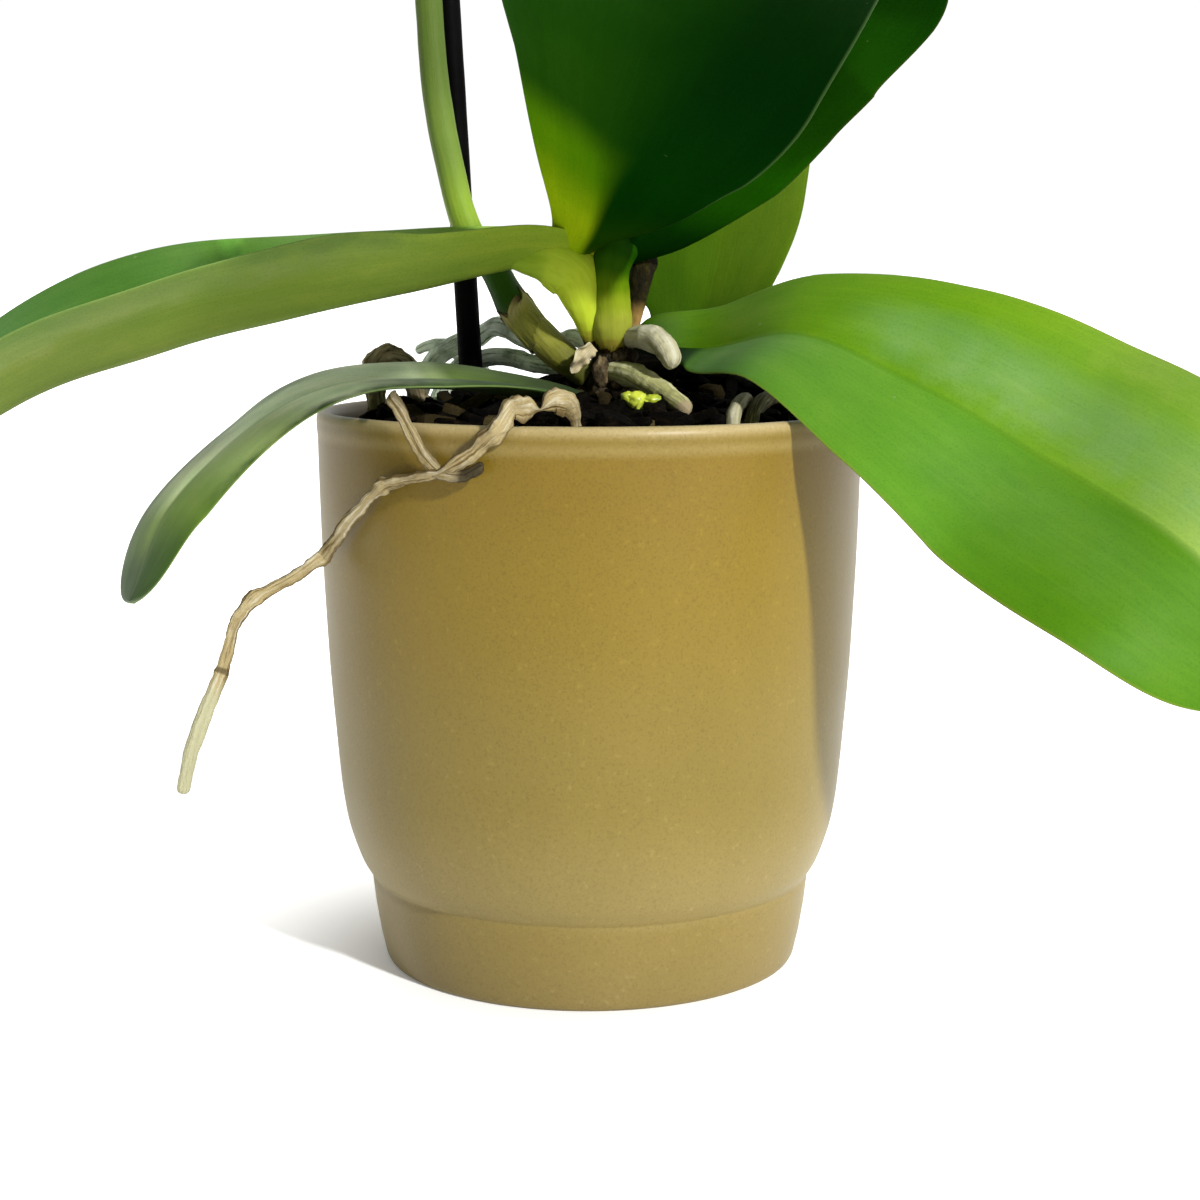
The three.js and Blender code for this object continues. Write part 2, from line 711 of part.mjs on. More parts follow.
// Roots. Those that rise from the stem start inside it, and the rest stand in the bark.
const roots = {
  root_pale: paleRoot,
  root_green: greenRoot,
  root_silver_1: {
    points: [
      [3, 3, 157], [-3, 11, 161], [-13, 18, 159], [-24, 25, 163.6], [-30, 28, 160.7],
      [-37, 28, 158], [-43, 28, 153], [-49, 26, 138],
    ],
    radii: [2.2, 2.5, 2.6, 2.5, 2.6],
    steps: 14,
    material: "silverRoot",
  },
  root_silver_2: {
    points: [
      [2, 4, 150], [-5, 13, 152.5], [-14, 18, 154], [-21, 22, 155.4], [-28.5, 24.5, 155],
      [-36, 22.5, 152], [-43, 19, 139],
    ],
    radii: [2.2, 2.4, 2.4, 2.4],
    steps: 12,
    material: "silverRoot",
  },
  root_silver_3: {
    points: [[-22, 35, 136], [-30, 37, 151], [-38.6, 38, 157.6], [-44, 38, 158], [-48, 38, 156.4]],
    radii: [2.4, 2.4, 2.2, 1.2],
    material: "silverRoot",
  },
  root_loop: {
    points: [
      [-42, 1, 138], [-47.6, -2, 154.6], [-49.9, -4, 157.9], [-53.6, -7, 159.5],
      [-56.2, -9.6, 157.9], [-56.8, -10.4, 154.6], [-56.6, -10.4, 138],
    ],
    radii: [2.3, 2.4, 2.5, 2.4, 2.2],
    steps: 12,
    material: "dryRoot",
  },
  root_back: {
    points: [[4, 4, 146], [6, 17, 150], [5, 31, 149], [1, 44, 145], [-2, 50, 136]],
    radii: [2.4, 2.8, 2.7, 2.2],
    material: "greenRoot",
  },
  root_right: {
    points: [[7, 0, 149], [17, 5, 151.5], [29, 10, 150.5], [42, 13, 146], [48, 14, 136]],
    radii: [2.4, 2.8, 2.8, 2.2],
    material: "greenRoot",
  },
  root_strap_1: {
    points: [
      [52, -8, 137], [49, -16, 147], [44, -26, 147.4], [40.4, -34, 145.2], [38, -41, 139],
      [37, -43, 134],
    ],
    radii: [1.6, 2, 2, 1.8],
    material: "greenRoot",
  },
  root_strap_2: {
    points: [[38, -22, 136], [38.6, -27, 146], [37, -33, 147], [34.6, -41, 143.6], [33.6, -45, 134]],
    radii: [1.4, 1.8, 1.8, 1.6],
    material: "paleRoot",
  },
  root_dry: {
    points: [
      [-2, -54, 136], [-3.2, -57, 145], [-5.4, -59, 148.6], [-8.4, -61, 148.8], [-11, -63, 147],
      [-14, -65.4, 147.8], [-17.4, -70.2, 147.6], [-20, -70.2, 143.8], [-25.8, -68.2, 138],
      [-34.1, -64.6, 132.6], [-47.7, -55.4, 129.1], [-57.6, -45.4, 119.4], [-65, -35, 109.7],
      [-72.8, -38, 104.5], [-80.8, -42, 100.5], [-85.4, -43.4, 95], [-88.5, -46, 83.3],
      [-92.5, -48, 73.8], [-96, -50, 64], [-97.6, -52, 56.5],
    ],
    radii: [1.5, 1.9, 2, 2, 1.9, 1.8, 1.7, 1.5],
    steps: 28,
    sides: 6,
    material: "dryRoot",
  },
};

// A second branch of the dry root: it hangs over the rim, crosses the first and ends in a snag.
const dryBranch = {
  points: [
    [-36, -30, 138], [-41, -42, 146], [-44.6, -51, 149.4], [-45.2, -56.6, 149],
    [-43.8, -58, 146.6], [-41.2, -60, 142], [-37.7, -62.2, 136], [-34, -64.2, 132.6],
    [-28.2, -66.8, 132.1], [-23.7, -68.6, 134.8],
  ],
  radii: [1.4, 1.6, 1.7, 1.7, 1.8, 1.9],
  steps: 14,
  sides: 6,
};

const rootShapes = [...Object.values(roots), dryBranch];
const barkHoles = rootShapes.map((root) => tube({ ...root, sides: 6 }, 2 * GAP));
for (const [name, root] of Object.entries(roots)) {
  const solid = name === "root_dry" ? tube(root).add(tube(dryBranch)) : tube(root);
  place(name, cut(solid, [crownHole]), root.material);
}

const spikeSolid = cut(join(spikePieces), [crownHole]);
place("flower_spike", spikeSolid, "spike");

// Small pieces at the stem: a new root tip, a flake of dry sheath and the stub of an old leaf.
const newRootTip = join([
  lump([12.5, -25, 147], [3.4, 2.6, 2.4]),
  lump([16, -26.6, 147.4], [2.2, 1.8, 1.5], 0.6),
  lump([13.4, -27.2, 145.2], [1.9, 1.8, 2.2], 1.1),
]);
place("new_root_tip", cut(newRootTip, [greenRootHole]), "shoot");

const flakeShape = {
  spine: [[0.4, -5.8, 159.4], [-1.8, -6.6, 157], [-4.6, -6.4, 153.2]],
  roll: [20, -10],
  fold: [-20, -26],
  petiole: 2.2,
  widest: 2.9,
  at: 0.5,
  rib: 0.9,
  margin: 0.7,
  stations: [-1, 0, 1],
  steps: 4,
};
place("sheath_flake", cut(blade(flakeShape), [crownHole, ...spikeHoles]), "dryRoot");

const stubShape = {
  points: [[11, 0, 162], [11.9, 0.5, 168], [12.5, 1, 173], [13.4, 1.6, 178], [14.8, 2.2, 184]],
  radii: [1.3, 1.6, 2.3, 3.2, 4],
  sides: 6,
  steps: 3,
};
const stubCutters = [crownHole, paleRootHole, ...Object.values(leafHoles)];
place("leaf_stub", cut(tube(stubShape), stubCutters), "wood");

// Bark: it fills the inner pot, its top rises to the stem, and loose chips lie sunk in it.
const barkSide = (z) => innerRadius(z) - INNER_POT_WALL - 2 * GAP;
function barkTop(x, y) {
  const radius = Math.hypot(x, y);
  const dome = BARK_MIDDLE + (BARK_EDGE - BARK_MIDDLE) * (radius / barkSide(BARK_EDGE)) ** 4;
  const away = Math.hypot((x - BARK_HEAP.x) / BARK_HEAP.across, (y - BARK_HEAP.y) / BARK_HEAP.deep);
  return dome + BARK_HEAP.rise * Math.exp(-(away ** 2) / 2);
}
const draw = seeded(7);
const spread = (low, high) => low + (high - low) * draw();
// The fill is a ring grid whose top is broken into uneven facets.
function barkFill() {
  const sectors = 18;
  const base = POT_FLOOR + INNER_POT_WALL;
  const edge = barkSide(BARK_EDGE - 2);
  const points = [new THREE.Vector3(0, 0, base), new THREE.Vector3(0, 0, barkTop(0, 0))];
  const addRing = (radius, heightAt) => {
    for (let k = 0; k < sectors; k += 1) {
      const angle = (2 * Math.PI * k) / sectors;
      const [x, y] = [radius * Math.cos(angle), radius * Math.sin(angle)];
      points.push(new THREE.Vector3(x, y, heightAt(x, y)));
    }
  };
  addRing(barkSide(base), () => base);
  addRing(edge, () => BARK_EDGE - 2);
  const inward = [4, 13, 23, 34, 46];
  for (const step of inward) addRing(edge - step, (x, y) => barkTop(x, y) + spread(-1.9, 1.9));
  const id = (ring, k) => 2 + ring * sectors + (k % sectors);
  const last = inward.length + 1;
  const faces = [];
  for (let k = 0; k < sectors; k += 1) {
    faces.push([0, id(0, k + 1), id(0, k)], [1, id(last, k), id(last, k + 1)]);
    for (let ring = 0; ring < last; ring += 1) {
      const [a, b, c, d] = [id(ring, k), id(ring, k + 1), id(ring + 1, k + 1), id(ring + 1, k)];
      faces.push([a, b, c], [a, c, d]);
    }
  }
  return fromFaces(points, faces);
}
function barkChip(i) {
  const radius = 9 + 46 * Math.sqrt((i + 0.5) / CHIPS);
  const angle = i * 2.39996 + spread(-0.2, 0.2);
  const geometry = new THREE.BoxGeometry(spread(9, 17), spread(6, 11), spread(3.4, 6.5));
  const corners = geometry.attributes.position;
  const shear = [spread(-0.25, 0.25), spread(-0.25, 0.25), spread(0.7, 1)];
  for (let k = 0; k < corners.count; k += 1) {
    const [x, y, z] = [corners.getX(k), corners.getY(k), corners.getZ(k)];
    const taper = x > 0 ? shear[2] : 1;
    corners.setXYZ(k, x + shear[0] * y, y * taper + shear[1] * z, z * taper);
  }
  geometry.rotateX(spread(-0.5, 0.5)).rotateY(spread(-0.45, 0.45)).rotateZ(spread(0, 6.28));
  const push = Math.min(radius, barkSide(BARK_EDGE) - 12.5);
  const [x, y] = [push * Math.cos(angle), push * Math.sin(angle)];
  return toSolid(geometry.translate(x, y, barkTop(x, y) + spread(-1.2, 1.2)));
}
const bark = join([barkFill(), ...Array.from({ length: CHIPS }, (_, i) => barkChip(i))]);
const barkCutters = [
  crownHole, stakeHole, leafHoles.leaf_old, newRootTip, ...barkHoles, ...spikeHoles,
];
place("bark", cut(bark, barkCutters), "bark");

export default plant;
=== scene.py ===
import math
import random

import bpy
import numpy as np
from mathutils import Matrix, Vector, noise


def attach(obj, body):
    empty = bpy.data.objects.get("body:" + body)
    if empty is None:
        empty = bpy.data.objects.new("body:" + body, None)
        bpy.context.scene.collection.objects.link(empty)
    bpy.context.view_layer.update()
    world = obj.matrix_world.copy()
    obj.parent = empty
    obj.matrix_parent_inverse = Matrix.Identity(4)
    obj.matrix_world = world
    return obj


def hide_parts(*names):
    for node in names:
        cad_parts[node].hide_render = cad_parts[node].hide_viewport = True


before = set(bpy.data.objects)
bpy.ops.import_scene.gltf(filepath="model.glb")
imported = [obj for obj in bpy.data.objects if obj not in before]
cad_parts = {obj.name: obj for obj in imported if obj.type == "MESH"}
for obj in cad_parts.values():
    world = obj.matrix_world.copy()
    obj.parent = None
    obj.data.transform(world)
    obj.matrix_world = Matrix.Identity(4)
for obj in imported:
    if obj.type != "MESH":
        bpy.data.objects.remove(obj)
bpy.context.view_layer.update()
MM = 0.001
POT_HEIGHT = 143.5


# Curves and surfaces, in millimetres until a piece is made.
def catmull(points, t):
    """Points at t, from 0 to 1, on the uniform Catmull-Rom curve through points."""
    p = np.asarray(points, float)
    if p.ndim == 1:
        p = p[:, None]
    spans = len(p) - 1
    x = np.clip(np.atleast_1d(np.asarray(t, float)), 0, 1) * spans
    i = np.minimum(x.astype(int), spans - 1)
    w = (x - i)[:, None]
    ends = np.vstack([2 * p[0] - p[1], p, 2 * p[-1] - p[-2]])
    a, b, c, d = ends[i], ends[i + 1], ends[i + 2], ends[i + 3]
    m, n = (c - a) / 2, (d - b) / 2
    return (2 * b - 2 * c + m + n) * w**3 + (-3 * b + 3 * c - 2 * m - n) * w**2 + m * w + b


def unit(v):
    return v / np.maximum(np.linalg.norm(v, axis=-1, keepdims=True), 1e-9)


def between(at, places, points):
    """Points at the given places along straight spans."""
    return np.stack([np.interp(at, places, points[:, k]) for k in range(3)], 1)


def evenly(points, steps, kink=0):
    """Points spread by length along the curve, and the length up to each. kink straightens its spans."""
    t = np.linspace(0, 1, 600)
    fine = catmull(points, t)
    corners = np.linspace(0, 1, len(points))
    fine = fine + kink * (between(t, corners, np.asarray(points, float)) - fine)
    run = np.concatenate([[0], np.cumsum(np.linalg.norm(np.diff(fine, axis=0), axis=1))])
    want = np.linspace(0, run[-1], steps + 1)
    return between(want, run, fine), want


def rows_of(x, y, z):
    """One row of three for each point, from arrays that fit one grid."""
    return np.stack(np.broadcast_arrays(x, y, z), -1).reshape(-1, 3)


SEED_STEP = (17.3, 5.1, 9.7)


def perlin(points, size, seed):
    """Smooth noise of about the given size in millimetres at each point."""
    shift = Vector([seed * step for step in SEED_STEP])
    return np.array([noise.noise(Vector(p) / size + shift) for p in points])


class Shape:
    """Vertices, faces and the surface coordinates of one piece under construction."""

    def __init__(self):
        self.points = []
        self.faces = []
        self.marks = []
        self.slots = []

    def add(self, points, faces, marks=None):
        start = sum(len(p) for p in self.points)
        self.points.append(np.asarray(points, float))
        self.faces += [tuple(start + k for k in face) for face in faces]
        self.marks.append(np.zeros((len(points), 3)) if marks is None else np.asarray(marks, float))
        self.slots += [0] * len(faces)
        return self

    def moved(self, matrix):
        for k, points in enumerate(self.points):
            spread = np.hstack([points, np.ones((len(points), 1))])
            self.points[k] = (spread @ np.array(matrix).T)[:, :3]
        return self

    def take(self, other, slot=None):
        start = sum(len(p) for p in self.points)
        self.points += other.points
        self.marks += other.marks
        self.faces += [tuple(start + k for k in face) for face in other.faces]
        self.slots += other.slots if slot is None else [slot] * len(other.slots)
        return self


def piece(name, shape, materials, nodes, sharp=None):
    """A mesh piece that stands for CAD nodes. Its marks are kept as the attribute surface."""
    mesh = bpy.data.meshes.new(name)
    mesh.from_pydata(np.vstack(shape.points) * MM, [], shape.faces)
    for material in materials:
        mesh.materials.append(material)
    mesh.polygons.foreach_set("material_index", shape.slots)
    mesh.shade_smooth()
    if sharp:
        mesh.set_sharp_from_angle(angle=math.radians(sharp))
    marks = mesh.attributes.new("surface", "FLOAT_VECTOR", "POINT")
    marks.data.foreach_set("vector", np.vstack(shape.marks).ravel())
    obj = bpy.data.objects.new(name, mesh)
    bpy.context.scene.collection.objects.link(obj)
    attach(obj, "root")
    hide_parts(*nodes)
    return obj


def loop_faces(rings, sides, closed_ends=True):
    """Quads between rings of points, and a cap on each end."""
    faces = []
    for i in range(rings - 1):
        for k in range(sides):
            a, b = i * sides + k, i * sides + (k + 1) % sides
            faces.append((a, b, b + sides, a + sides))
    if closed_ends:
        faces.append(tuple(range(sides))[::-1])
        faces.append(tuple((rings - 1) * sides + k for k in range(sides)))
    return faces


def tube(
    points, radii, steps=60, sides=20, rough=(0, 4, 0), knots=(), blunt=True, ridges=(0, 0), flat=1,
    twist=(0, 0), kink=0, calm=1,
):
    """A stem or root. Marks: length in mm, share round, t.

    rough is (share of the radius, size, seed), knots are (t, width, rise), and ridges are (count, share of
    the radius). flat squashes it one way. twist is its first turn and the turn along it, in half turns. kink
    makes its bends sharper, and past calm its skin is nearly smooth."""
    centres, run = evenly(points, steps, kink)
    ahead = unit(np.gradient(centres, axis=0))
    normal = unit(np.cross(ahead[0], [0.3, 0.2, 1.0]))
    normals = []
    for forward in ahead:
        normal = unit(normal - forward * (normal @ forward))
        normals.append(normal)
    normals = np.array(normals)
    beside = np.cross(ahead, normals)
    t = np.linspace(0, 1, steps + 1)
    radius = catmull(radii, t)[:, 0]
    for at, width, rise in knots:
        radius = radius + rise * np.exp(-(((t - at) / width) ** 2))
    if blunt:
        left = (run[-1] - run) / max(radius[-1], 0.1)
        radius = radius * np.sqrt(np.clip(1 - np.clip(1 - left, 0, 1) ** 2, 0.0, 1))
    turn = (np.pi * (twist[0] + twist[1] * (t + 0.06 * np.sin(23 * t))))[:, None]
    normals, beside = (
        normals * np.cos(turn) + beside * np.sin(turn),
        beside * np.cos(turn) - normals * np.sin(turn),
    )
    angle = np.linspace(0, math.tau, sides, endpoint=False)
    ring = normals[:, None] * np.cos(angle)[:, None] + beside[:, None] * np.sin(angle)[:, None] * flat
    grooves = 1 + ridges[1] * np.cos(ridges[0] * angle)[None, :]
    surface = centres[:, None] + ring * (radius[:, None] * grooves)[..., None]
    if rough[0]:
        flats = surface.reshape(-1, 3)
        swell = perlin(flats, rough[1], rough[2]) + 0.5 * perlin(flats, rough[1] / 2.6, rough[2] + 1)
        reach = np.repeat(radius * np.where(t > calm, 0.3, 1), sides) * rough[0]
        surface = (flats + ring.reshape(-1, 3) * (swell * reach)[:, None]).reshape(surface.shape)
    marks = rows_of(run[:, None], angle / math.tau, t[:, None])
    return Shape().add(surface.reshape(-1, 3), loop_faces(steps + 1, sides), marks)


TIP_WIDTH = 0.25


def half_width(leaf, t):
    """Half the width of a blade: it widens from the petiole up to at, then narrows to a rounded tip."""
    at, petiole, widest = leaf["at"], leaf["petiole"], leaf["widest"]
    rise = np.clip(t / at, 0, 1)
    up = petiole + (widest - petiole) * rise * rise * (3 - 2 * rise)
    fall = np.clip((t - at) / (1 - at), 0, 1)
    down = widest * np.sqrt(np.maximum(1 - fall ** leaf.get("blunt", 2.3), 0))
    return np.where(t < at, up, np.maximum(down, TIP_WIDTH))


def blade(leaf, steps=96, across=17):
    """A leaf or petal with two faces and a rounded margin. Marks: t, v from -1 to 1, 1 on the under face."""
    t = 1 - (1 - np.linspace(0, 1, steps + 1)) ** 1.5
    centre = catmull(leaf["spine"], t)
    near = catmull(leaf["spine"], np.clip(t - 1e-3, 0, 1))
    forward = unit(catmull(leaf["spine"], np.clip(t + 1e-3, 0, 1)) - near)
    heading = np.subtract(leaf["spine"][-1], leaf["spine"][0]).astype(float)
    heading[2] = 0
    left = np.cross([0, 0, 1.0], unit(heading))
    flat = unit(left - forward * (forward @ left)[:, None])
    lift = np.cross(forward, flat)
    roll = np.radians(catmull(leaf["roll"], t))
    fold = np.radians(catmull(leaf["fold"], t))
    side = flat * np.cos(roll) + lift * np.sin(roll)
    face = lift * np.cos(roll) - flat * np.sin(roll)
    half = half_width(leaf, t) * (1 - leaf.get("pinch", 0) * np.exp(-t / 0.03))
    v = np.sin(np.linspace(-np.pi / 2, np.pi / 2, 2 * across - 1))
    round_v = np.concatenate([v, v[-2:0:-1]])
    under = np.concatenate([np.zeros(len(v)), np.ones(len(v) - 2)])
    under[[0, len(v) - 1]] = 0.5
    sign = 0.5 - under
    crease = leaf.get("crease", 0.05)
    bend = np.sqrt(round_v**2 + crease**2) - crease
    thin = (1 - 0.4 * t**4)[:, None]
    rib, margin = leaf.get("rib", 2.4), leaf.get("margin", 1.0)
    depth = (rib + (margin - rib) * round_v**2) * thin * np.sqrt(1 - np.abs(round_v) ** 16)
    groove = leaf.get("groove", 0.5) * np.exp(-((round_v / 0.035) ** 2))
    keel = leaf.get("keel", 0.5) * np.exp(-((round_v / 0.07) ** 2))
    rib_rise = np.where(under > 0.9, -keel, -groove) * (1 - t[:, None]) ** 0.6
    rise = half[:, None] * (bend * np.sin(fold) - leaf.get("arch", 0.05) * round_v**2)
    rise = rise + sign * depth * np.cos(fold)
    out = half[:, None] * round_v * np.cos(fold) - np.sign(round_v) * sign * depth * np.sin(fold)
    if leaf.get("wave"):
        swing, count = leaf["wave"]
        ripple = np.sin(count * np.pi * t[:, None] + np.where(round_v > 0, 0.4, 2.1))
        rise = rise + swing * ripple * np.abs(round_v) ** 3 * np.sin(np.pi * t[:, None]) ** 0.5
    surface = centre[:, None] + side[:, None] * out[..., None] + face[:, None] * (rise + rib_rise)[..., None]
    sides = len(round_v)
    flats = surface.reshape(-1, 3)
    mid = (centre[:, None] + side[:, None] * (half[:, None] * round_v)[..., None]).reshape(-1, 3)
    swell = leaf.get("swell", 0.5) * perlin(mid, leaf.get("swell_size", 26), leaf.get("seed", 1))
    swell = swell * np.repeat(np.clip(6 * np.minimum(t, 1 - t), 0, 1), sides)
    flats = flats + np.repeat(face, sides, axis=0) * swell[:, None]
    return Shape().add(flats, loop_faces(steps + 1, sides), rows_of(t[:, None], round_v, under))


def turned(profile, sides):
    """A surface turned about Z from (radius, height) pairs. Marks: share round, height, share along."""
    radius, height = np.asarray(profile, float).T[:, :, None]
    angle = np.linspace(0, math.tau, sides, endpoint=False)
    points = rows_of(radius * np.cos(angle), radius * np.sin(angle), height)
    share = np.linspace(0, 1, len(profile))[:, None]
    return Shape().add(points, loop_faces(len(profile), sides), rows_of(angle / math.tau, height, share))


def smooth_profile(pairs, count):
    """More points on a smooth line through (radius, height) pairs."""
    return catmull(np.asarray(pairs, float), np.linspace(0, 1, count))


# Materials. Colours are given as 0 to 255 and turned into linear light.
def rgb(red, green, blue, k=1.0):
    linear = [((c / 255 + 0.055) / 1.055) ** 2.4 if c > 10 else c / 255 / 12.92 for c in (red, green, blue)]
    return (*[c * k for c in linear], 1.0)


class Shade:
    """A Principled material, with its colour laid on in layers. k scales colours without their own k."""

    def __init__(self, name, k=1.0, **even):
        self.k = k
        self.colour = None
        self.material = bpy.data.materials.new(name)
        self.material.use_nodes = True
        self.nodes = self.material.node_tree.nodes
        self.links = self.material.node_tree.links
        self.shader = self.nodes["Principled BSDF"]
        for key, value in even.items():
            self.shader.inputs[key.replace("_", " ")].default_value = value

    def put(self, socket, value):
        if isinstance(value, bpy.types.NodeSocket):
            self.links.new(value, socket)
        else:
            socket.default_value = value

    def node(self, kind, inputs, **settings):
        node = self.nodes.new("ShaderNode" + kind)
        for key, value in settings.items():
            setattr(node, key, value)
        for key, value in inputs.items():
            self.put(node.inputs[key], value)
        return node

    def math(self, operation, a, b=0.0):
        return self.node("Math", {0: a, 1: b}, operation=operation).outputs[0]

    def times(self, a, b):
        return self.math("MULTIPLY", a, b)

    def plus(self, a, b):
        return self.math("ADD", a, b)

    def size(self, a):
        return self.math("ABSOLUTE", a)

    def place(self, stretch=(1, 1, 1)):
        """The object's own coordinates in metres, times stretch."""
        where = self.node("TexCoord", {}).outputs["Object"]
        return self.node("Mapping", {"Vector": where, "Scale": stretch}).outputs[0]

    def away(self, stretch=(1, 1, 1)):
        """The distance from the object's own origin, in metres."""
        return self.node("VectorMath", {0: self.place(stretch)}, operation="LENGTH").outputs["Value"]

    def apart(self, vector):
        split = self.node("SeparateXYZ", {"Vector": vector})
        return split.outputs[0], split.outputs[1], split.outputs[2]

    def surface(self):
        """The three marks of the surface, apart."""
        return self.apart(self.node("Attribute", {}, attribute_name="surface").outputs["Vector"])

    def around(self, pitch):
        """For a tube: t, the turn round it, and a place that goes round it and, by pitch, along it."""
        run, share, t = self.surface()
        turn = self.times(share, math.tau)
        circle = self.spread(self.math("COSINE", turn), self.math("SINE", turn), self.times(run, pitch))
        return t, turn, circle

    def spread(self, x, y, z):
        return self.node("CombineXYZ", {0: x, 1: y, 2: z}).outputs[0]

    def noise(self, scale, detail=3.0, rough=0.55, at=None, stretch=(1, 1, 1)):
        at = self.place(stretch) if at is None else at
        inputs = {"Vector": at, "Scale": scale, "Detail": detail, "Roughness": rough}
        return self.node("TexNoise", inputs).outputs["Fac"]

    def range(self, value, low, high, to_low=0.0, to_high=1.0):
        inputs = {"Value": value, "From Min": low, "From Max": high, "To Min": to_low, "To Max": to_high}
        return self.node("MapRange", inputs, interpolation_type="SMOOTHSTEP").outputs["Result"]

    def tone(self, colour):
        return rgb(*colour) if len(colour) == 4 else rgb(*colour, self.k)

    def ramp(self, fac, stops):
        """A soft run of colours through stops, each a position and a colour."""
        node = self.node("ValToRGB", {"Fac": fac})
        ramp = node.color_ramp
        ramp.interpolation = "EASE"
        while len(ramp.elements) < len(stops):
            ramp.elements.new(0.5)
        for element, (position, *colour) in zip(ramp.elements, stops):
            element.position = position
            element.color = self.tone(colour)
        return node.outputs["Color"]

    def mix(self, fac, a, b, blend="MIX"):
        node = self.node("Mix", {"Factor": fac}, data_type="RGBA", blend_type=blend)
        self.put(node.inputs[6], a)
        self.put(node.inputs[7], b)
        return node.outputs[2]

    def lay(self, fac, colour):
        """Lays a colour over what is there."""
        self.colour = self.mix(fac, self.colour, self.tone(colour))

    def over(self, value, low, high, most, colour):
        """Lays a colour on as value goes from low to high, up to the share most."""
        self.lay(self.range(value, low, high, 0.0, most), colour)

    def tint(self, value, low, high, most, factors):
        """Multiplies what is there by factors, as value goes from low to high."""
        tinted = self.mix(1.0, self.colour, (*factors, 1), "MULTIPLY")
        self.colour = self.mix(self.range(value, low, high, 0.0, most), self.colour, tinted)

    def finish(self, roughness, heights, bump=0.4, distance=0.0006):
        """Links the colour, the roughness and a bump made of (height, weight) pairs."""
        self.put(self.shader.inputs["Base Color"], self.colour)
        self.put(self.shader.inputs["Roughness"], roughness)
        total = None
        for value, weight in heights:
            part = self.times(value, weight)
            total = part if total is None else self.plus(total, part)
        inputs = {"Height": total, "Strength": bump, "Distance": distance}
        self.links.new(self.node("Bump", inputs).outputs[0], self.shader.inputs["Normal"])
        return self.material


def leaf_material(
    name, upper, under, midrib, k=0.62, gloss=0.5, edge=(120, 150, 56), shine=0.16, rib=0.4, rim=0.5,
    patches=(), melt=0,
):
    """upper and under each hold two lists of stops along t: for v above 0 and for v below 0. They blend
    over melt of v towards the tip. A patch is (1 on the under face, from t, to t, from v, to v, colour,
    strength). On some leaves these stops and patches paint sheen, highlights and shade."""
    s = Shade(name, k, Specular_IOR_Level=shine)
    t, v, below = s.surface()
    reach = s.plus(s.range(t, 0.16, 0.5, 0.0, melt), 0.05 + melt * 0.1)
    side = s.range(v, s.times(reach, -1.0), reach)
    veins = s.noise(1.0, 2.0, 0.5, at=s.spread(s.times(v, 42.0), s.times(t, 4.0), below))
    broad = s.noise(1.0, 3.0, 0.6, at=s.spread(s.times(v, 2.6), s.times(t, 6.0), below))
    blotch = s.noise(85.0, 3.0, 0.6)
    fine = s.noise(1700.0, 2.0, 0.6)
    top = s.mix(side, s.ramp(t, upper[1]), s.ramp(t, upper[0]))
    bottom = s.mix(side, s.ramp(t, under[1]), s.ramp(t, under[0]))
    face = s.range(below, 0.3, 0.7)
    s.colour = s.mix(face, top, bottom)
    across = s.plus(v, s.times(s.math("SUBTRACT", blotch, 0.5), 0.3))
    for under_face, t_from, t_to, v_from, v_to, colour, strength in patches:
        width = min(0.3, (v_to - v_from) / 2)
        window = s.times(s.range(t, t_from, t_from + 0.12), s.range(t, t_to, t_to - 0.12))
        band = s.times(s.range(across, v_from, v_from + width), s.range(across, v_to, v_to - width))
        window = s.times(s.times(window, band), s.range(blotch, 0.3, 0.65, 0.6, 1.0))
        window = s.times(window, s.range(face, 0.2, 0.8, 1.0 - under_face, float(under_face)))
        s.lay(s.times(window, strength), colour)
    s.tint(veins, 0.45, 0.7, 0.16, (1.5, 1.35, 1.5))
    s.tint(broad, 0.4, 0.75, 0.6, (0.7, 0.82, 0.8))
    s.tint(broad, 0.5, 0.25, 0.5, (1.3, 1.12, 1.2))
    s.tint(blotch, 0.5, 0.7, 0.3, (1.25, 1.1, 1.3))
    s.tint(fine, 0.45, 0.75, 0.6, (0.72, 0.78, 0.75))
    s.over(s.noise(300.0, 1.0, 0.5), 0.8, 0.84, 0.5, (150, 170, 110))
    s.over(s.size(v), 0.04, 0.008, rib, midrib)
    s.lay(s.times(s.range(s.size(v), 0.975, 0.996, 0.0, rim), s.range(t, 0.1, 0.3)), edge)
    dull = s.plus(s.times(below, 0.15), s.range(broad, 0.3, 0.7, gloss - 0.05, gloss + 0.07))
    return s.finish(dull, [(veins, 0.3), (fine, 0.2), (broad, 0.6), (blotch, 0.5)], 0.3, 0.0005)


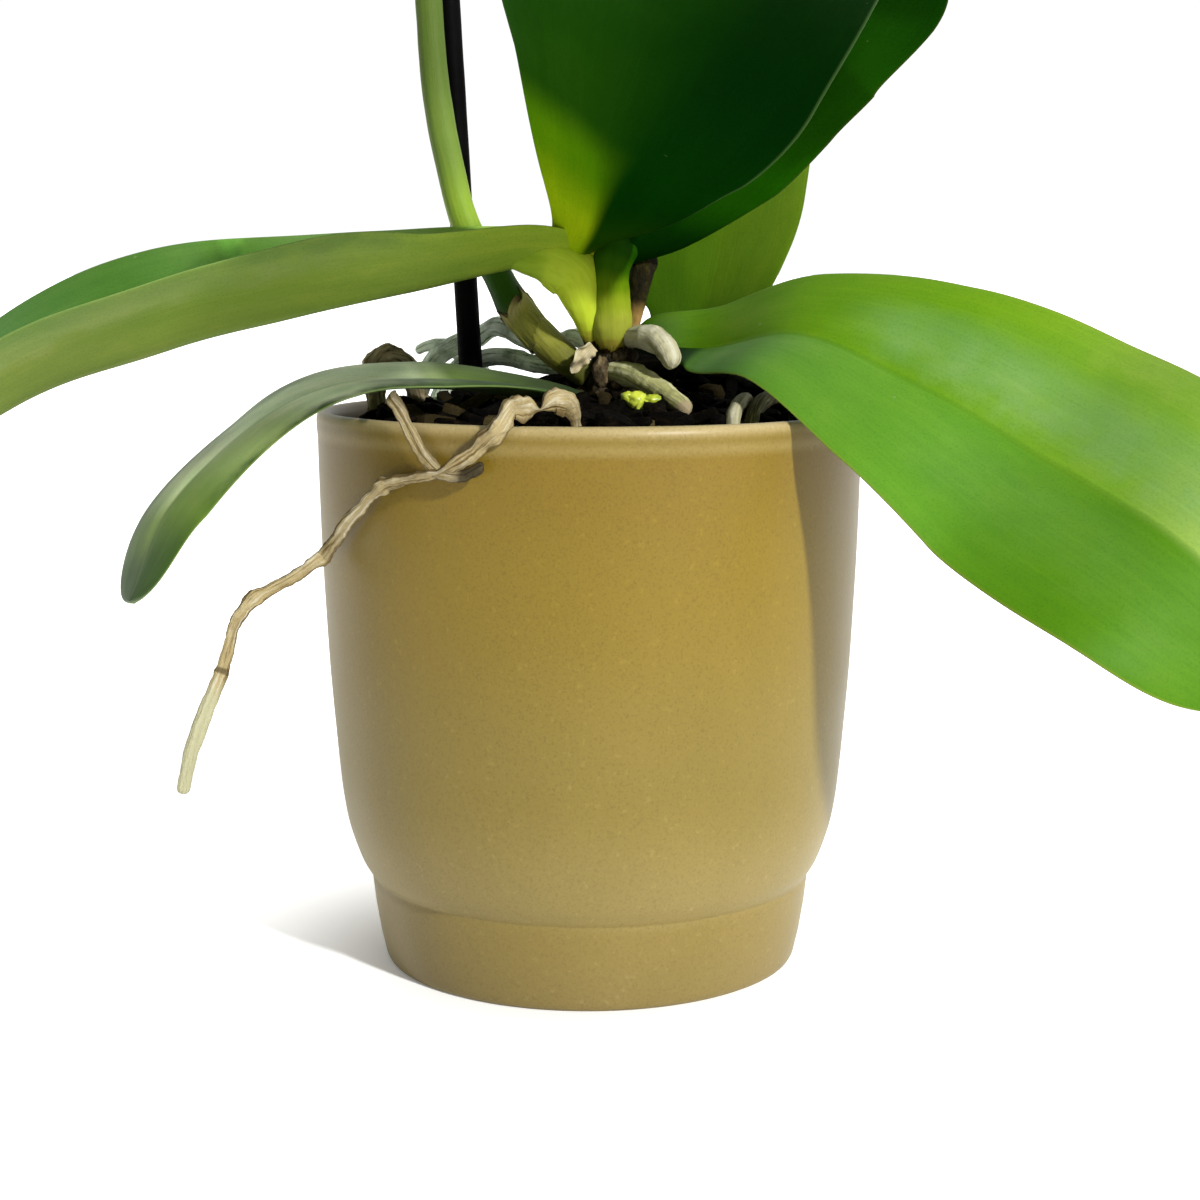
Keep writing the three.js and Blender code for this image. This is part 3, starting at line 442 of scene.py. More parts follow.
def root_material(
    name, base, dark, light, k=0.6, rough=0.8, streak=3.3, mottled=0.5, end=None, bump=0.7, rims=0,
    core=0, bands=(),
):
    """A root: streaks along it, patches and fine pits. end is a stop, to whose colour it turns from there.
    rims darkens the two narrow sides, core the middle of the broad ones, and bands the rings at those t."""
    s = Shade(name, k, Specular_IOR_Level=0.2)
    t, turn, circle = s.around(0.035)
    streaks = s.noise(streak, 4.0, 0.65, at=circle)
    patches = s.noise(130.0, 4.0, 0.6)
    pits = s.noise(900.0, 3.0, 0.7)
    s.colour = s.ramp(streaks, [(0.32, *dark), (0.5, *base), (0.66, *light)])
    s.over(patches, 0.45, 0.72, mottled, dark)
    s.over(pits, 0.55, 0.8, 0.3, light)
    if rims:
        side = s.plus(s.size(s.math("COSINE", turn)), s.times(patches, 0.3))
        s.over(side, 0.9, 1.12, rims, dark)
        s.over(side, 0.42, 0.2, core, dark)
    if end:
        last = s.plus(t, s.times(s.math("SUBTRACT", patches, 0.5), 0.08))
        s.over(last, end[0], min(end[0] + 0.04, 1.0), 0.85, end[1:])
    for at in bands:
        s.over(s.size(s.math("SUBTRACT", t, at)), 0.006, 0.002, 0.75, (*dark, k * 0.5))
    dull = s.range(pits, 0.2, 0.8, rough - 0.12, rough + 0.1)
    return s.finish(dull, [(streaks, 0.8), (patches, 0.6), (pits, 0.5)], bump, 0.0009)


def glaze_material():
    """A satin glaze: fine grain, soft pooling, pale flecks, paler bands at the step and under the lip, a
    painted highlight on top of the lip and painted shade inside under the rim.
    """
    s = Shade(
        "glaze", 0.5, Specular_IOR_Level=0.14, Coat_Weight=0.3, Coat_Roughness=0.36, Coat_IOR=1.42,
        Sheen_Weight=0.04, Sheen_Roughness=0.35,
    )
    grain = s.noise(1500.0, 3.0, 0.7)
    pool = s.noise(34.0, 3.0, 0.55, stretch=(1, 1, 0.6))
    fleck = s.noise(520.0, 2.0, 0.6)
    height = s.apart(s.place())[2]
    # The last stop paints a highlight along the top of the lip.
    stops = [
        (0.0, 163, 142, 79), (0.14, 162, 140, 70), (0.17, 170, 150, 84), (0.4, 156, 135, 58),
        (0.75, 155, 129, 34), (0.945, 149, 121, 28), (0.962, 168, 144, 72), (0.975, 154, 129, 50),
        (1.0, 220, 198, 138),
    ]
    s.colour = s.ramp(s.math("DIVIDE", height, POT_HEIGHT * MM), stops)
    # Painted shade: the inner wall just under the rim is darkened to brown.
    inner_painted_shade = s.range(s.away((1, 1, 0)), 0.0688, 0.0672, 0.0, 0.75)
    s.lay(s.times(inner_painted_shade, s.range(height, 0.132, 0.138)), (112, 90, 30))
    s.tint(pool, 0.35, 0.7, 0.4, (1.16, 1.15, 1.3))
    s.tint(grain, 0.45, 0.72, 0.55, (0.66, 0.64, 0.56))
    s.tint(fleck, 0.6, 0.74, 0.5, (1.28, 1.3, 1.6))
    return s.finish(s.range(pool, 0.3, 0.7, 0.46, 0.56), [(grain, 0.35), (pool, 0.5)], 0.22)


def plastic_material(name, colour, other, alpha=1.0, rough=0.4, shine=0.5):
    """Moulded plastic, with faint clouds and a fine grain."""
    s = Shade(name, Specular_IOR_Level=shine, Alpha=alpha)
    fine = s.noise(700.0, 3.0, 0.6)
    broad = s.noise(60.0, 3.0, 0.5)
    s.colour = s.tone(colour)
    s.over(broad, 0.3, 0.75, 1.0, other)
    s.over(fine, 0.5, 0.8, 0.3, other)
    return s.finish(
        s.range(fine, 0.2, 0.8, rough - 0.06, rough + 0.1), [(fine, 0.5), (broad, 0.4)], 0.3, 0.0004,
    )


def bark_material():
    """Dark chips with paler streaks, darkened to near black: their own dark colour and painted shade among
    them.
    The first mark picks out a few that are much paler.
    """
    s = Shade("bark_chips", Specular_IOR_Level=0.04)
    grain = s.noise(240.0, 5.0, 0.7, stretch=(1, 1, 3))
    pits = s.noise(900.0, 3.0, 0.7)
    s.colour = s.ramp(grain, [(0.3, 2, 2, 1), (0.52, 10, 7, 4), (0.74, 38, 29, 16)])
    s.over(s.noise(70.0, 3.0, 0.6), 0.4, 0.65, 0.75, (3, 2, 2))
    s.over(s.surface()[0], 0.88, 0.97, 0.5, (104, 90, 54))
    s.over(pits, 0.5, 0.8, 0.35, (7, 5, 3))
    return s.finish(s.range(pits, 0.2, 0.8, 0.78, 0.98), [(grain, 1.0), (pits, 0.6)], 0.8, 0.0012)


def wood_material(name, dark, base, light, end=None):
    """Old wood. end is (from t, to t, *colour), which it turns to between them."""
    s = Shade(name, Specular_IOR_Level=0.12)
    grain = s.noise(420.0, 5.0, 0.7, stretch=(1, 1, 0.5))
    patch = s.noise(210.0, 3.0, 0.6)
    s.colour = s.ramp(grain, [(0.32, *dark), (0.5, *base), (0.68, *light)])
    s.over(patch, 0.42, 0.66, 0.8, dark)
    if end:
        s.over(s.surface()[2], end[0], end[1], 1.0, end[2:])
    return s.finish(s.range(grain, 0.2, 0.8, 0.75, 0.95), [(grain, 1.0), (patch, 0.6)], 0.8, 0.0012)


def sheath_material(name, stops):
    """A leaf sheath: fine ribs along it, lit from within, with a torn brown rim at the bottom."""
    s = Shade(name, 0.85, Specular_IOR_Level=0.02, Subsurface_Weight=0.15, Subsurface_Scale=0.003)
    t, _, circle = s.around(0.03)
    lines = s.noise(4.5, 3.0, 0.6, at=circle)
    ragged = s.noise(300.0, 3.0, 0.6)
    patch = s.noise(90.0, 3.0, 0.6)
    s.colour = s.ramp(t, stops)
    s.tint(lines, 0.45, 0.7, 0.5, (0.72, 0.8, 0.5))
    s.tint(patch, 0.5, 0.75, 0.4, (1.3, 1.2, 1.6))
    edge = s.plus(t, s.times(ragged, 0.16))
    s.over(edge, 0.2, 0.16, 0.5, (126, 104, 40))
    s.over(edge, 0.145, 0.12, 1.0, (38, 26, 10))
    return s.finish(s.range(ragged, 0.2, 0.8, 0.42, 0.56), [(lines, 0.7), (patch, 0.4)])


def spike_material():
    """A green stalk with fine lines, yellow-green at its foot and above its first node."""
    s = Shade("spike_green", 0.56, Specular_IOR_Level=0.12)
    t, _, circle = s.around(0.012)
    lines = s.noise(3.0, 3.0, 0.6, at=circle)
    patch = s.noise(60.0, 3.0, 0.6)
    fine = s.noise(1100.0, 3.0, 0.6)
    stops = [
        (0.0, 96, 98, 38), (0.036, 110, 120, 34), (0.048, 46, 88, 2), (0.074, 54, 100, 4),
        (0.092, 160, 194, 60), (0.125, 124, 152, 60), (0.16, 98, 122, 46), (1.0, 96, 128, 46),
    ]
    s.colour = s.ramp(t, stops)
    s.tint(lines, 0.42, 0.7, 0.5, (0.66, 0.76, 0.5))
    s.tint(patch, 0.45, 0.75, 0.4, (1.3, 1.16, 1.4))
    s.tint(fine, 0.6, 0.8, 0.4, (0.6, 0.66, 0.6))
    heights = [(lines, 0.8), (fine, 0.4), (patch, 0.4)]
    return s.finish(s.range(fine, 0.2, 0.8, 0.5, 0.64), heights, distance=0.0005)


def bract_material():
    """A drying bract: olive below, papery tan at its torn tip."""
    s = Shade("bract_papery", 0.66, Specular_IOR_Level=0.25)
    _, share, t = s.surface()
    lines = s.noise(2.5, 3.0, 0.6, at=s.spread(s.times(share, 12.0), s.times(t, 1.5), 0.0))
    fine = s.noise(600.0, 3.0, 0.7)
    stops = [
        (0.0, 112, 114, 26, 0.62), (0.55, 156, 156, 56), (0.85, 190, 180, 106), (1.0, 110, 88, 40, 0.5),
    ]
    s.colour = s.ramp(t, stops)
    s.over(lines, 0.45, 0.7, 0.45, (92, 88, 36, 0.6))
    s.over(fine, 0.55, 0.8, 0.35, (190, 178, 128))
    return s.finish(s.range(fine, 0.2, 0.8, 0.55, 0.75), [(lines, 1.0), (fine, 0.5)], 0.6)


def petal_material(name, main, vein, base, k=0.44, freckle=None):
    """A petal: fine branching veins from a tinted base, a soft sheen and a faintly uneven skin."""
    s = Shade(
        name, k, Specular_IOR_Level=0.3, Subsurface_Weight=0.12, Subsurface_Scale=0.002,
        Sheen_Weight=0.15,
    )
    t, v, _ = s.surface()
    veins = s.noise(1.0, 4.0, 0.6, at=s.spread(s.times(v, 14.0), s.times(t, 2.2), 0.0))
    broad = s.noise(60.0, 3.0, 0.5)
    fine = s.noise(1400.0, 2.0, 0.6)
    s.colour = s.tone(main)
    s.over(veins, 0.48, 0.66, 0.3, vein)
    s.over(t, 0.3, 0.0, 0.75, base)
    s.over(broad, 0.4, 0.7, 0.15, vein)
    if freckle:
        s.over(s.noise(520.0, 1.0, 0.4), 0.57, 0.66, 0.85, freckle)
    return s.finish(
        s.range(fine, 0.2, 0.8, 0.5, 0.66), [(veins, 0.8), (fine, 0.3), (broad, 0.4)], 0.35, 0.0005,
    )


def shoot_material():
    """The bright, wet skin of a new root tip."""
    s = Shade("new_tip_green", 0.8, Specular_IOR_Level=0.5, Coat_Weight=0.2, Coat_Roughness=0.2)
    patch = s.noise(240.0, 3.0, 0.6)
    fine = s.noise(1200.0, 2.0, 0.6)
    s.colour = s.ramp(patch, [(0.35, 150, 172, 30, 0.72), (0.55, 206, 216, 70), (0.7, 226, 226, 130)])
    return s.finish(s.range(fine, 0.2, 0.8, 0.3, 0.45), [(patch, 0.8), (fine, 0.3)], 0.5)


# Leaves, as the source has them. Each list runs from the crown to the tip.
LEAVES = {
    "leaf_front": dict(
        spine=[
            (-4, -4, 181), (1.8, -21, 191), (7.8, -47, 212), (14.4, -78, 230), (19.8, -119, 236),
            (26, -160, 236), (27, -199, 227),
        ],
        roll=[-6, -36, -13, 0], fold=[36, 8, 4, 8], petiole=8.5, widest=39.3, at=0.49, seed=3,
        wave=(0.5, 5),
    ),
    "leaf_right_upper": dict(
        spine=[
            (4, -4, 181), (14, -12, 190), (24, -26, 207), (33, -41, 225), (45, -60, 236), (60, -71, 245),
            (66, -84, 251),
        ],
        roll=[-40, -50, -49, -40], fold=[35, 12, 7, 8], petiole=8.1, widest=29.4, at=0.49, seed=4,
        wave=(0.25, 4), swell=0.3,
    ),
    "leaf_back": dict(
        spine=[
            (10, 5, 157.5), (20, 10, 158.5), (29, 18, 165), (33.6, 28, 181), (36.2, 41, 199),
            (39.6, 60, 220), (43.5, 82, 238), (46.5, 106, 250),
        ],
        roll=[0, -4, -3, 0], fold=[36, 20, 10, 8], petiole=5, widest=25.4, at=0.52, seed=5,
        wave=(0.4, 4), groove=0.05, crease=0.2,
    ),
    "leaf_right": dict(
        spine=[
            (12, -3, 159.5), (30, -5, 157.8), (50, -24, 162), (75, -38, 152.8), (103, -51, 136.4),
            (133, -79, 117.2), (160.2, -84, 89),
        ],
        roll=[36, 34, 42, 45], fold=[38, 16, 11, 3], petiole=10.5, pinch=0.45, widest=40.6, at=0.73,
        arch=0.08, seed=6, wave=(0.3, 6), swell=0.9, groove=0.35,
    ),
    "leaf_left": dict(
        spine=[
            (2, -2.6, 180), (-16, -6, 180.6), (-45, -11, 174.4), (-72, -20, 168.2), (-102, -29, 160.6),
            (-136, -36, 148.2), (-166.6, -41, 128.6),
        ],
        roll=[-2, -1, -6, -2], fold=[52, 39, 36, 34], petiole=10, widest=39.2, at=0.65, seed=7,
        wave=(0.6, 5),
    ),
    "leaf_old": dict(
        spine=[
            (1, -7.6, 144), (-16, -19, 148), (-37, -31, 151.4), (-60, -37, 150.8), (-79, -47, 141.6),
            (-98, -54, 122.8), (-105.4, -66, 102.8),
        ],
        roll=[-17, -9, 1, -3], fold=[39, 13, 1, -1], petiole=6, widest=20.8, at=0.6, blunt=3, seed=8,
        wave=(0.4, 4), pinch=0.55,
    ),
}
GREENS = {
    # The under face is painted bright yellow-green near the crown on its v below 0 side and near black on
    # the other: painted light and shade across the keel. The pale margin line is a painted highlight.
    "leaf_front": dict(
        upper=([(0, 120, 150, 40), (0.2, 66, 118, 26), (1, 84, 134, 44)],) * 2,
        under=(
            [
                (0, 90, 130, 4), (0.1, 34, 80, 0), (0.22, 4, 60, 0), (0.5, 0, 42, 0), (0.75, 2, 42, 0),
                (1, 12, 56, 0),
            ],
            [
                (0, 186, 218, 20), (0.13, 182, 216, 16), (0.25, 98, 154, 0), (0.32, 34, 84, 0),
                (0.5, 26, 78, 0), (1, 24, 74, 0),
            ],
        ),
        midrib=(30, 84, 0), k=0.6, edge=(120, 160, 90), shine=0.02, gloss=0.6, rim=0.3, rib=0.0, melt=0.5,
    ),
    "leaf_right_upper": dict(
        upper=([(0, 110, 140, 40), (0.2, 64, 114, 26), (1, 80, 128, 40)],) * 2,
        under=(
            [(0, 6, 50, 0), (0.16, 6, 52, 0), (0.3, 34, 98, 0), (0.5, 30, 84, 0), (1, 12, 62, 0)],
            [(0, 6, 50, 0), (0.2, 6, 52, 0), (0.5, 12, 62, 0), (1, 10, 60, 0)],
        ),
        midrib=(10, 56, 0), k=0.6, edge=(96, 84, 40), shine=0.02, gloss=0.6, rim=0.3,
    ),
    "leaf_back": dict(
        upper=(
            [(0, 66, 104, 0), (0.3, 62, 100, 0), (0.6, 74, 114, 4), (1, 84, 122, 12)],
            [(0, 66, 104, 0), (0.25, 68, 106, 0), (0.45, 106, 144, 22), (1, 128, 162, 40)],
        ),
        under=([(0, 84, 112, 24), (0.4, 66, 102, 26), (1, 80, 110, 36)],) * 2, midrib=(60, 98, 0),
        k=0.54, rib=0.0, edge=(84, 108, 24), shine=0.05, gloss=0.6, melt=0.6,
    ),
    # The v below 0 half and the under face are painted near black at the base: painted shade. The patches
    # are a painted bluish sheen, with a painted highlight near the tip on the v above 0 side.
    "leaf_right": dict(
        upper=(
            [
                (0, 56, 94, 0), (0.14, 84, 128, 4), (0.22, 104, 150, 8), (0.32, 106, 158, 6),
                (0.5, 114, 168, 10), (0.74, 132, 184, 40), (0.85, 166, 202, 86), (1, 184, 214, 108),
            ],
            [
                (0, 4, 20, 0), (0.1, 6, 34, 0), (0.14, 20, 58, 0), (0.19, 82, 130, 38),
                (0.24, 108, 158, 62), (0.34, 106, 162, 44), (0.6, 106, 168, 36), (0.85, 90, 148, 6),
                (1, 90, 146, 10),
            ],
        ),
        under=(
            [
                (0, 14, 34, 0), (0.09, 12, 36, 0), (0.15, 56, 88, 12), (0.22, 74, 108, 22),
                (0.5, 92, 126, 40), (1, 104, 138, 52),
            ],
        ) * 2,
        midrib=(70, 124, 4), k=0.53, gloss=0.56, edge=(150, 160, 60), shine=0.1, rib=0.2,
        patches=[
            (0, 0.36, 1.2, 0.0, 0.75, (132, 180, 104), 0.6),
            (0, 0.6, 1.2, 0.6, 1.3, (166, 196, 90), 0.4), (0, 0.16, 0.4, -1.2, 0.0, (112, 162, 92), 0.4),
            (0, 0.5, 0.9, -0.8, 0.0, (110, 162, 70), 0.3),
        ],
    ),
    # The v below 0 upper list is painted far brighter than the leaf's green up to t 0.55 and then drops
    # sharply: painted light with a painted shadow edge. The under face is painted lighter near the crown:
    # painted light too.
    "leaf_left": dict(
        upper=(
            [(0, 84, 124, 30), (0.4, 76, 126, 44), (1, 80, 128, 52)],
            [
                (0, 150, 180, 50), (0.25, 160, 206, 80), (0.36, 186, 236, 116), (0.43, 206, 280, 136),
                (0.53, 174, 258, 98), (0.545, 144, 222, 84), (0.57, 106, 160, 58), (0.6, 98, 146, 60),
                (0.7, 84, 134, 48), (1, 108, 150, 92),
            ],
        ),
        under=(
            [
                (0, 190, 210, 44), (0.08, 172, 200, 50), (0.16, 166, 196, 58), (0.36, 172, 202, 80),
                (0.6, 140, 166, 62), (0.8, 128, 150, 62), (1, 122, 142, 64),
            ],
            [(0, 170, 190, 46), (0.1, 136, 166, 54), (0.5, 124, 156, 58), (1, 110, 142, 62)],
        ),
        midrib=(128, 150, 70), k=0.6, gloss=0.6, shine=0.06, edge=(126, 154, 86), rim=0.3,
        patches=[
            (1, 0.3, 1.2, 0.5, 1.2, (150, 172, 104), 0.5), (1, 0.3, 0.9, 0.75, 1.2, (100, 136, 62), 0.5),
        ],
    ),
    # The palest stops on the upper face are a painted glare; the dark stops near the crown and the dark
    # green patches are painted shade.
    "leaf_old": dict(
        upper=(
            [
                (0, 16, 46, 0), (0.2, 28, 58, 2), (0.29, 54, 80, 16), (0.345, 110, 136, 70),
                (0.4, 184, 202, 144), (0.5, 222, 238, 188), (0.56, 236, 250, 204), (0.66, 168, 190, 112),
                (0.8, 98, 128, 32), (0.95, 48, 80, 2), (1, 40, 68, 4),
            ],
            [
                (0, 24, 44, 0), (0.13, 34, 52, 6), (0.19, 44, 66, 8), (0.25, 62, 84, 18),
                (0.3, 78, 100, 34), (0.345, 150, 168, 110), (0.38, 206, 222, 176), (0.48, 236, 246, 214),
                (0.66, 232, 246, 206), (0.78, 204, 218, 160), (0.87, 112, 138, 56), (0.95, 48, 78, 6),
                (1, 42, 68, 8),
            ],
        ),
        under=([(0, 46, 78, 10), (0.4, 70, 104, 30), (1, 84, 100, 40)],) * 2, midrib=(96, 122, 56),
        k=0.95, gloss=0.56, edge=(110, 128, 60), shine=0.6, rib=0.3,
        patches=[
            (0, 0.12, 0.85, 0.7, 1.6, (28, 66, 0), 1.0), (0, 0.02, 0.5, 0.2, 1.6, (26, 54, 2), 1.0),
            (0, 0.44, 1.2, -1.6, -0.5, (58, 88, 24), 0.7), (0, 0.6, 1.2, -1.6, -0.1, (58, 88, 24), 0.5),
        ],
    ),
}
for name, leaf in LEAVES.items():
    piece(name + "_blade", blade(leaf), [leaf_material(name + "_green", **GREENS[name])], [name])

clear_plastic = plastic_material(
    "clear_plastic", (205, 212, 208), (180, 190, 184), alpha=0.45, rough=0.22,
)
clip_plastic = plastic_material("clip_plastic", (40, 92, 44), (30, 74, 36), rough=0.36)
stake_finish = plastic_material("stake_finish", (1, 1, 1), (5, 5, 5), rough=0.6, shine=0.03)

# Cover pot: the outside follows the belly smoothly into a crisp step and foot, and the lip is round.
belly = [
    (57.5, 22.6), (58.2, 23.6), (60.5, 27.7), (63.3, 36), (64.75, 44), (65.6, 52), (66.3, 60),
    (67.55, 76), (68.4, 92), (69.1, 108), (69.5, 123), (69.75, 137),
]
outside = smooth_profile(belly, 60)
foot = [
    (0, 0.6), (51.5, 0.6), (52.2, 0), (53, 0), (53.7, 0.35), (54.2, 1.3), (54.5, 2.6), (55.5, 7),
    (56.8, 15), (57.3, 19.5), (57.5, 21.2), (57.3, 21.9), (57.3, 22.3),
]
lip = [
    (70, 139.5), (70, 141.4), (69.8, 142.4), (69.2, 143.2), (68.2, 143.5), (67.2, 143.2), (66.4, 142.4),
    (66, 141),
]
inside = [
    (65.8, 139), (65.6, 130), (64.8, 100), (62.5, 60), (58.7, 34), (55, 22), (49, 7.5), (46.5, 6),
    (0, 6),
]
pot = turned([*foot, *outside, *lip, *inside], 180)
piece("cover_pot_glazed", pot, [glaze_material()], ["cover_pot"], sharp=50)

# Inner pot of clear plastic, with a rolled rim.
inner = [
    (0, 6), (45, 6), (46, 6.6), (61.2, 135.6), (63.6, 136.4), (64, 137), (64, 138.6), (63.4, 139),
    (61, 139), (60.7, 138.4), (45.3, 8), (44, 7), (0, 7),
]
inner_pot = turned(inner, 120)
piece("inner_pot_clear", inner_pot, [clear_plastic], ["inner_pot"], sharp=60)

# Stake and spike.
STAKE_FOOT, STAKE_TOP = np.array((-24.3, 18, 14)), np.array((-47.5, 18, 452))
stake_line = [STAKE_FOOT + (STAKE_TOP - STAKE_FOOT) * k / 4 for k in range(5)]
stake = tube(stake_line, [3.1, 3.1], steps=90, sides=28, rough=(0.02, 9, 2), blunt=False)
piece("stake_rod", stake, [stake_finish], ["stake"], sharp=50)

SPIKE = [
    (0, -1.6, 151.6), (-6.9, 0, 156.2), (-12.8, 3, 162), (-18.6, 6, 167.8), (-25.1, 9.5, 179.1),
    (-32.1, 10, 190), (-36.4, 10, 206.7), (-39.2, 10, 221.8), (-40.4, 10, 234.3), (-41.1, 10, 246.7),
    (-43.9, 10, 298), (-46.7, 10, 350), (-49.6, 10, 405), (-49, 8, 446), (-36, 2, 488), (-9, -4, 514),
    (24, -10, 524), (56, -16, 522), (86, -21, 510), (112, -25, 492), (134, -28, 468), (148, -30, 440),
]
SPANS = len(SPIKE) - 1
spike = tube(
    SPIKE, [3.7, 3.7, 3.3, 3, 2.8, 2.6, 2.2, 2, 1.7, 1.2], steps=420, sides=24, rough=(0.05, 14, 3),
    knots=[(0.047, 0.008, 0.7), (0.36, 0.008, 0.8), (0.5, 0.008, 0.7)], ridges=(5, 0.02),
)


def spike_at(share):
    """The point and the direction at a share of the spike's length."""
    here = catmull(SPIKE, share)[0]
    return here, unit(catmull(SPIKE, share + 1e-3)[0] - catmull(SPIKE, share - 1e-3)[0])


def bract(centre, forward, out, length, girth, reach, seed):
    """A pointed scale that hugs the stalk and lifts at its tip. Marks: 0, share across, t."""
    out = unit(out - forward * (out @ forward))
    beside = np.cross(forward, out)
    rows, columns = 18, 13
    t = np.linspace(0, 1, rows)[:, None]
    across = np.linspace(-1, 1, columns)[None]
    wide = np.radians(118) * (1 - 0.75 * t**5) + 0.03
    angle = across * wide
    away = girth + reach * t**2
    torn = 0.1 * np.sin(across * 6 + seed) + 0.06 * np.sin(across * 15 + 2 * seed)
    ragged = 1 + (torn - 0.16 * across**2) * t
    faces, points, marks = [], [], []
    for skin in (0.0, 0.45):
        radius = away + skin
        grid = (
            centre
            + forward * (length * t * ragged)[..., None]
            + out * (radius * np.cos(angle))[..., None]
            + beside * (radius * np.sin(angle))[..., None]
        )
        points.append(grid.reshape(-1, 3))
        marks.append(rows_of(0 * t, across * 0.5 + 0.5, t))
    count = rows * columns
    for i in range(rows - 1):
        for k in range(columns - 1):
            a = i * columns + k
            faces.append((a, a + columns, a + columns + 1, a + 1))
            faces.append((count + a, count + a + 1, count + a + columns + 1, count + a + columns))
    rim = [i * columns for i in range(rows)] + [(rows - 1) * columns + k for k in range(1, columns)]
    rim += [i * columns + columns - 1 for i in range(rows - 2, -1, -1)] + list(range(columns - 2, 0, -1))
    for a, b in zip(rim, rim[1:] + rim[:1]):
        faces.append((a, b, count + b, count + a))
    return Shape().add(np.vstack(points), faces, np.vstack(marks))


first = np.array([-17.4, 5.4, 166.6])
first_way = unit(np.array([-0.62, 0.3, 0.72]))
sleeve = [(-4, -0.6, 154.2), (-9, 1, 158.2), (-14, 3.7, 163.2), (-18.6, 6, 167.8)]
spike.take(tube(sleeve, [3.9, 4.2, 4.2, 4.3], 40, 24, (0.06, 5, 6)), 1)
spike.take(bract(first - first_way * 9, first_way, np.array([-0.7, -0.5, -0.5]), 12.4, 4.0, 0.3, 1), 1)
spike.take(bract(first - first_way * 8, first_way, np.array([0.7, -0.5, 0.6]), 12.6, 4.0, 0.6, 2), 1)
for share, side in ((10.7, -1), (12.4, 1)):
    centre, forward = spike_at(share / SPANS)
    out = np.array([side, -0.4, 0.0])
    spike.take(bract(centre - forward * 4, forward, out, 17, 3.1, 1.5, 3 + side), 1)


def stalk(share, end, facing, radii):
    """A curved stalk from the spike to the back of a bloom or bud."""
    start = spike_at(share / SPANS)[0]
    near, far = start + (end - start) * 0.35, end - facing * np.linalg.norm(end - start) * 0.4
    t = np.linspace(0, 1, 7)[:, None]
    line = (1 - t) ** 3 * start + 3 * t * (1 - t) ** 2 * near + 3 * t**2 * (1 - t) * far + t**3 * end
    return tube(line, radii, steps=24, sides=12, rough=(0.05, 6, share), blunt=False)


# Blooms. One is built facing +Z with its top towards +Y, then turned into each place.
BLOOM_BACK = 3.6


def tepal(angle, length, lift, bend, seed, **shape):
    """One petal or sepal, at an angle from the bloom's own X axis."""
    way = np.array([math.cos(math.radians(angle)), math.sin(math.radians(angle)), 0])
    root = way * 2.2
    tip = way * length
    spine = [root + (0, 0, lift), (root + tip) / 2 + (0, 0, lift + bend), tip + (0, 0, lift + 0.2 * bend)]
    leaf = dict(
        spine=spine, roll=[0, 0], fold=[4, 0], rib=1.2, margin=0.7, arch=0.06, groove=0.15, keel=0.25,
        swell=0.7, swell_size=9, seed=seed, crease=0.2, **shape,
    )
    return blade(leaf, steps=26, across=9)


def bloom(seed):
    whole = Shape()
    for k, angle in enumerate((90, 214, 326)):
        whole.take(tepal(angle, 35, -1.6, -1.5, seed + k, petiole=3, widest=13.5, at=0.5, blunt=2.2))
    for k, angle in enumerate((10, 170)):
        broad = dict(petiole=3.2, widest=21, at=0.55, blunt=3, wave=(0.8, 4))
        whole.take(tepal(angle, 38, 0.6, 1.8, seed + 5 + k, **broad))
    column = [(0, 0, -2.5), (0, 0.4, 2), (0, 1.8, 6), (0, 2.6, 9.4)]
    return whole.take(tube(column, [4, 3.4, 2.7, 2.6], 16, 16, (0.05, 3, seed)))


def lip_of(seed):
    """A lip: a middle lobe, two side lobes, a callus and two tendrils."""
    keel = dict(
        spine=[(0, -3.4, 2.6), (0, -8, 6.5), (0, -15, 8.5), (0, -22, 7)], roll=[0, 0], fold=[18, -12],
        petiole=2.6, widest=7, at=0.45, blunt=1.4, rib=2, margin=0.8, arch=0.05, groove=0.3, keel=0.3,
        swell=0.4, swell_size=5, seed=seed, crease=0.15,
    )
    whole = blade(keel, steps=30, across=9)
    for side in (-1, 1):
        lobe = [
            (side * 1.6, -5.4, 4.6), (side * 5.4, -6, 8), (side * 6.6, -3.6, 12),
            (side * 4.6, -1.6, 14.4),
        ]
        whole.take(tube(lobe, [1.6, 3, 2.8, 1.2], 18, 14, (0.12, 3, seed + side), flat=0.7))
        callus = [(side * 1.6, -5.4, 6), (side * 1.4, -7, 9.2), (side * 1.2, -8.4, 9.6)]
        whole.take(tube(callus, [1.3, 1.5, 0.8], 10, 10, (0.1, 2, seed)), 1)
        tendril = [
            (side * 0.6, -21, 7.3), (side * 2.6, -24, 9.6), (side * 4.4, -22, 12),
            (side * 3.6, -19, 12.6),
        ]
        whole.take(tube(tendril, [0.6, 0.45, 0.3, 0.2], 18, 8))
    return whole


BLOOMS = [
    (13.2, (-70, -14, 452), -16, 6, 1), (14.1, (4, -24, 462), 8, 10, 1),
    (14.9, (-44, -26, 530), -12, 4, 0.99), (16, (68, -36, 476), 10, 10, 0.98),
    (16.8, (36, -36, 556), -2, 4, 0.96),
]
BUDS = [
    (17.8, (98, -40, 536), 1), (18.6, (108, -46, 474), 0.95), (19.6, (140, -44, 494), 0.85),
    (20.5, (132, -42, 442), 0.75),
]
BUD_OUTLINE = [
    (0, 0), (0.16, 0.03), (0.27, 0.14), (0.34, 0.3), (0.37, 0.5), (0.33, 0.7), (0.23, 0.87), (0.1, 0.97),
    (0, 1),
]
petal_white = petal_material("petal_white", (246, 243, 242), (224, 214, 214), (206, 218, 150))
lip_yellow = petal_material(
    "lip_yellow", (244, 226, 150), (224, 150, 60), (236, 190, 60), k=0.6, freckle=(150, 34, 30),
)
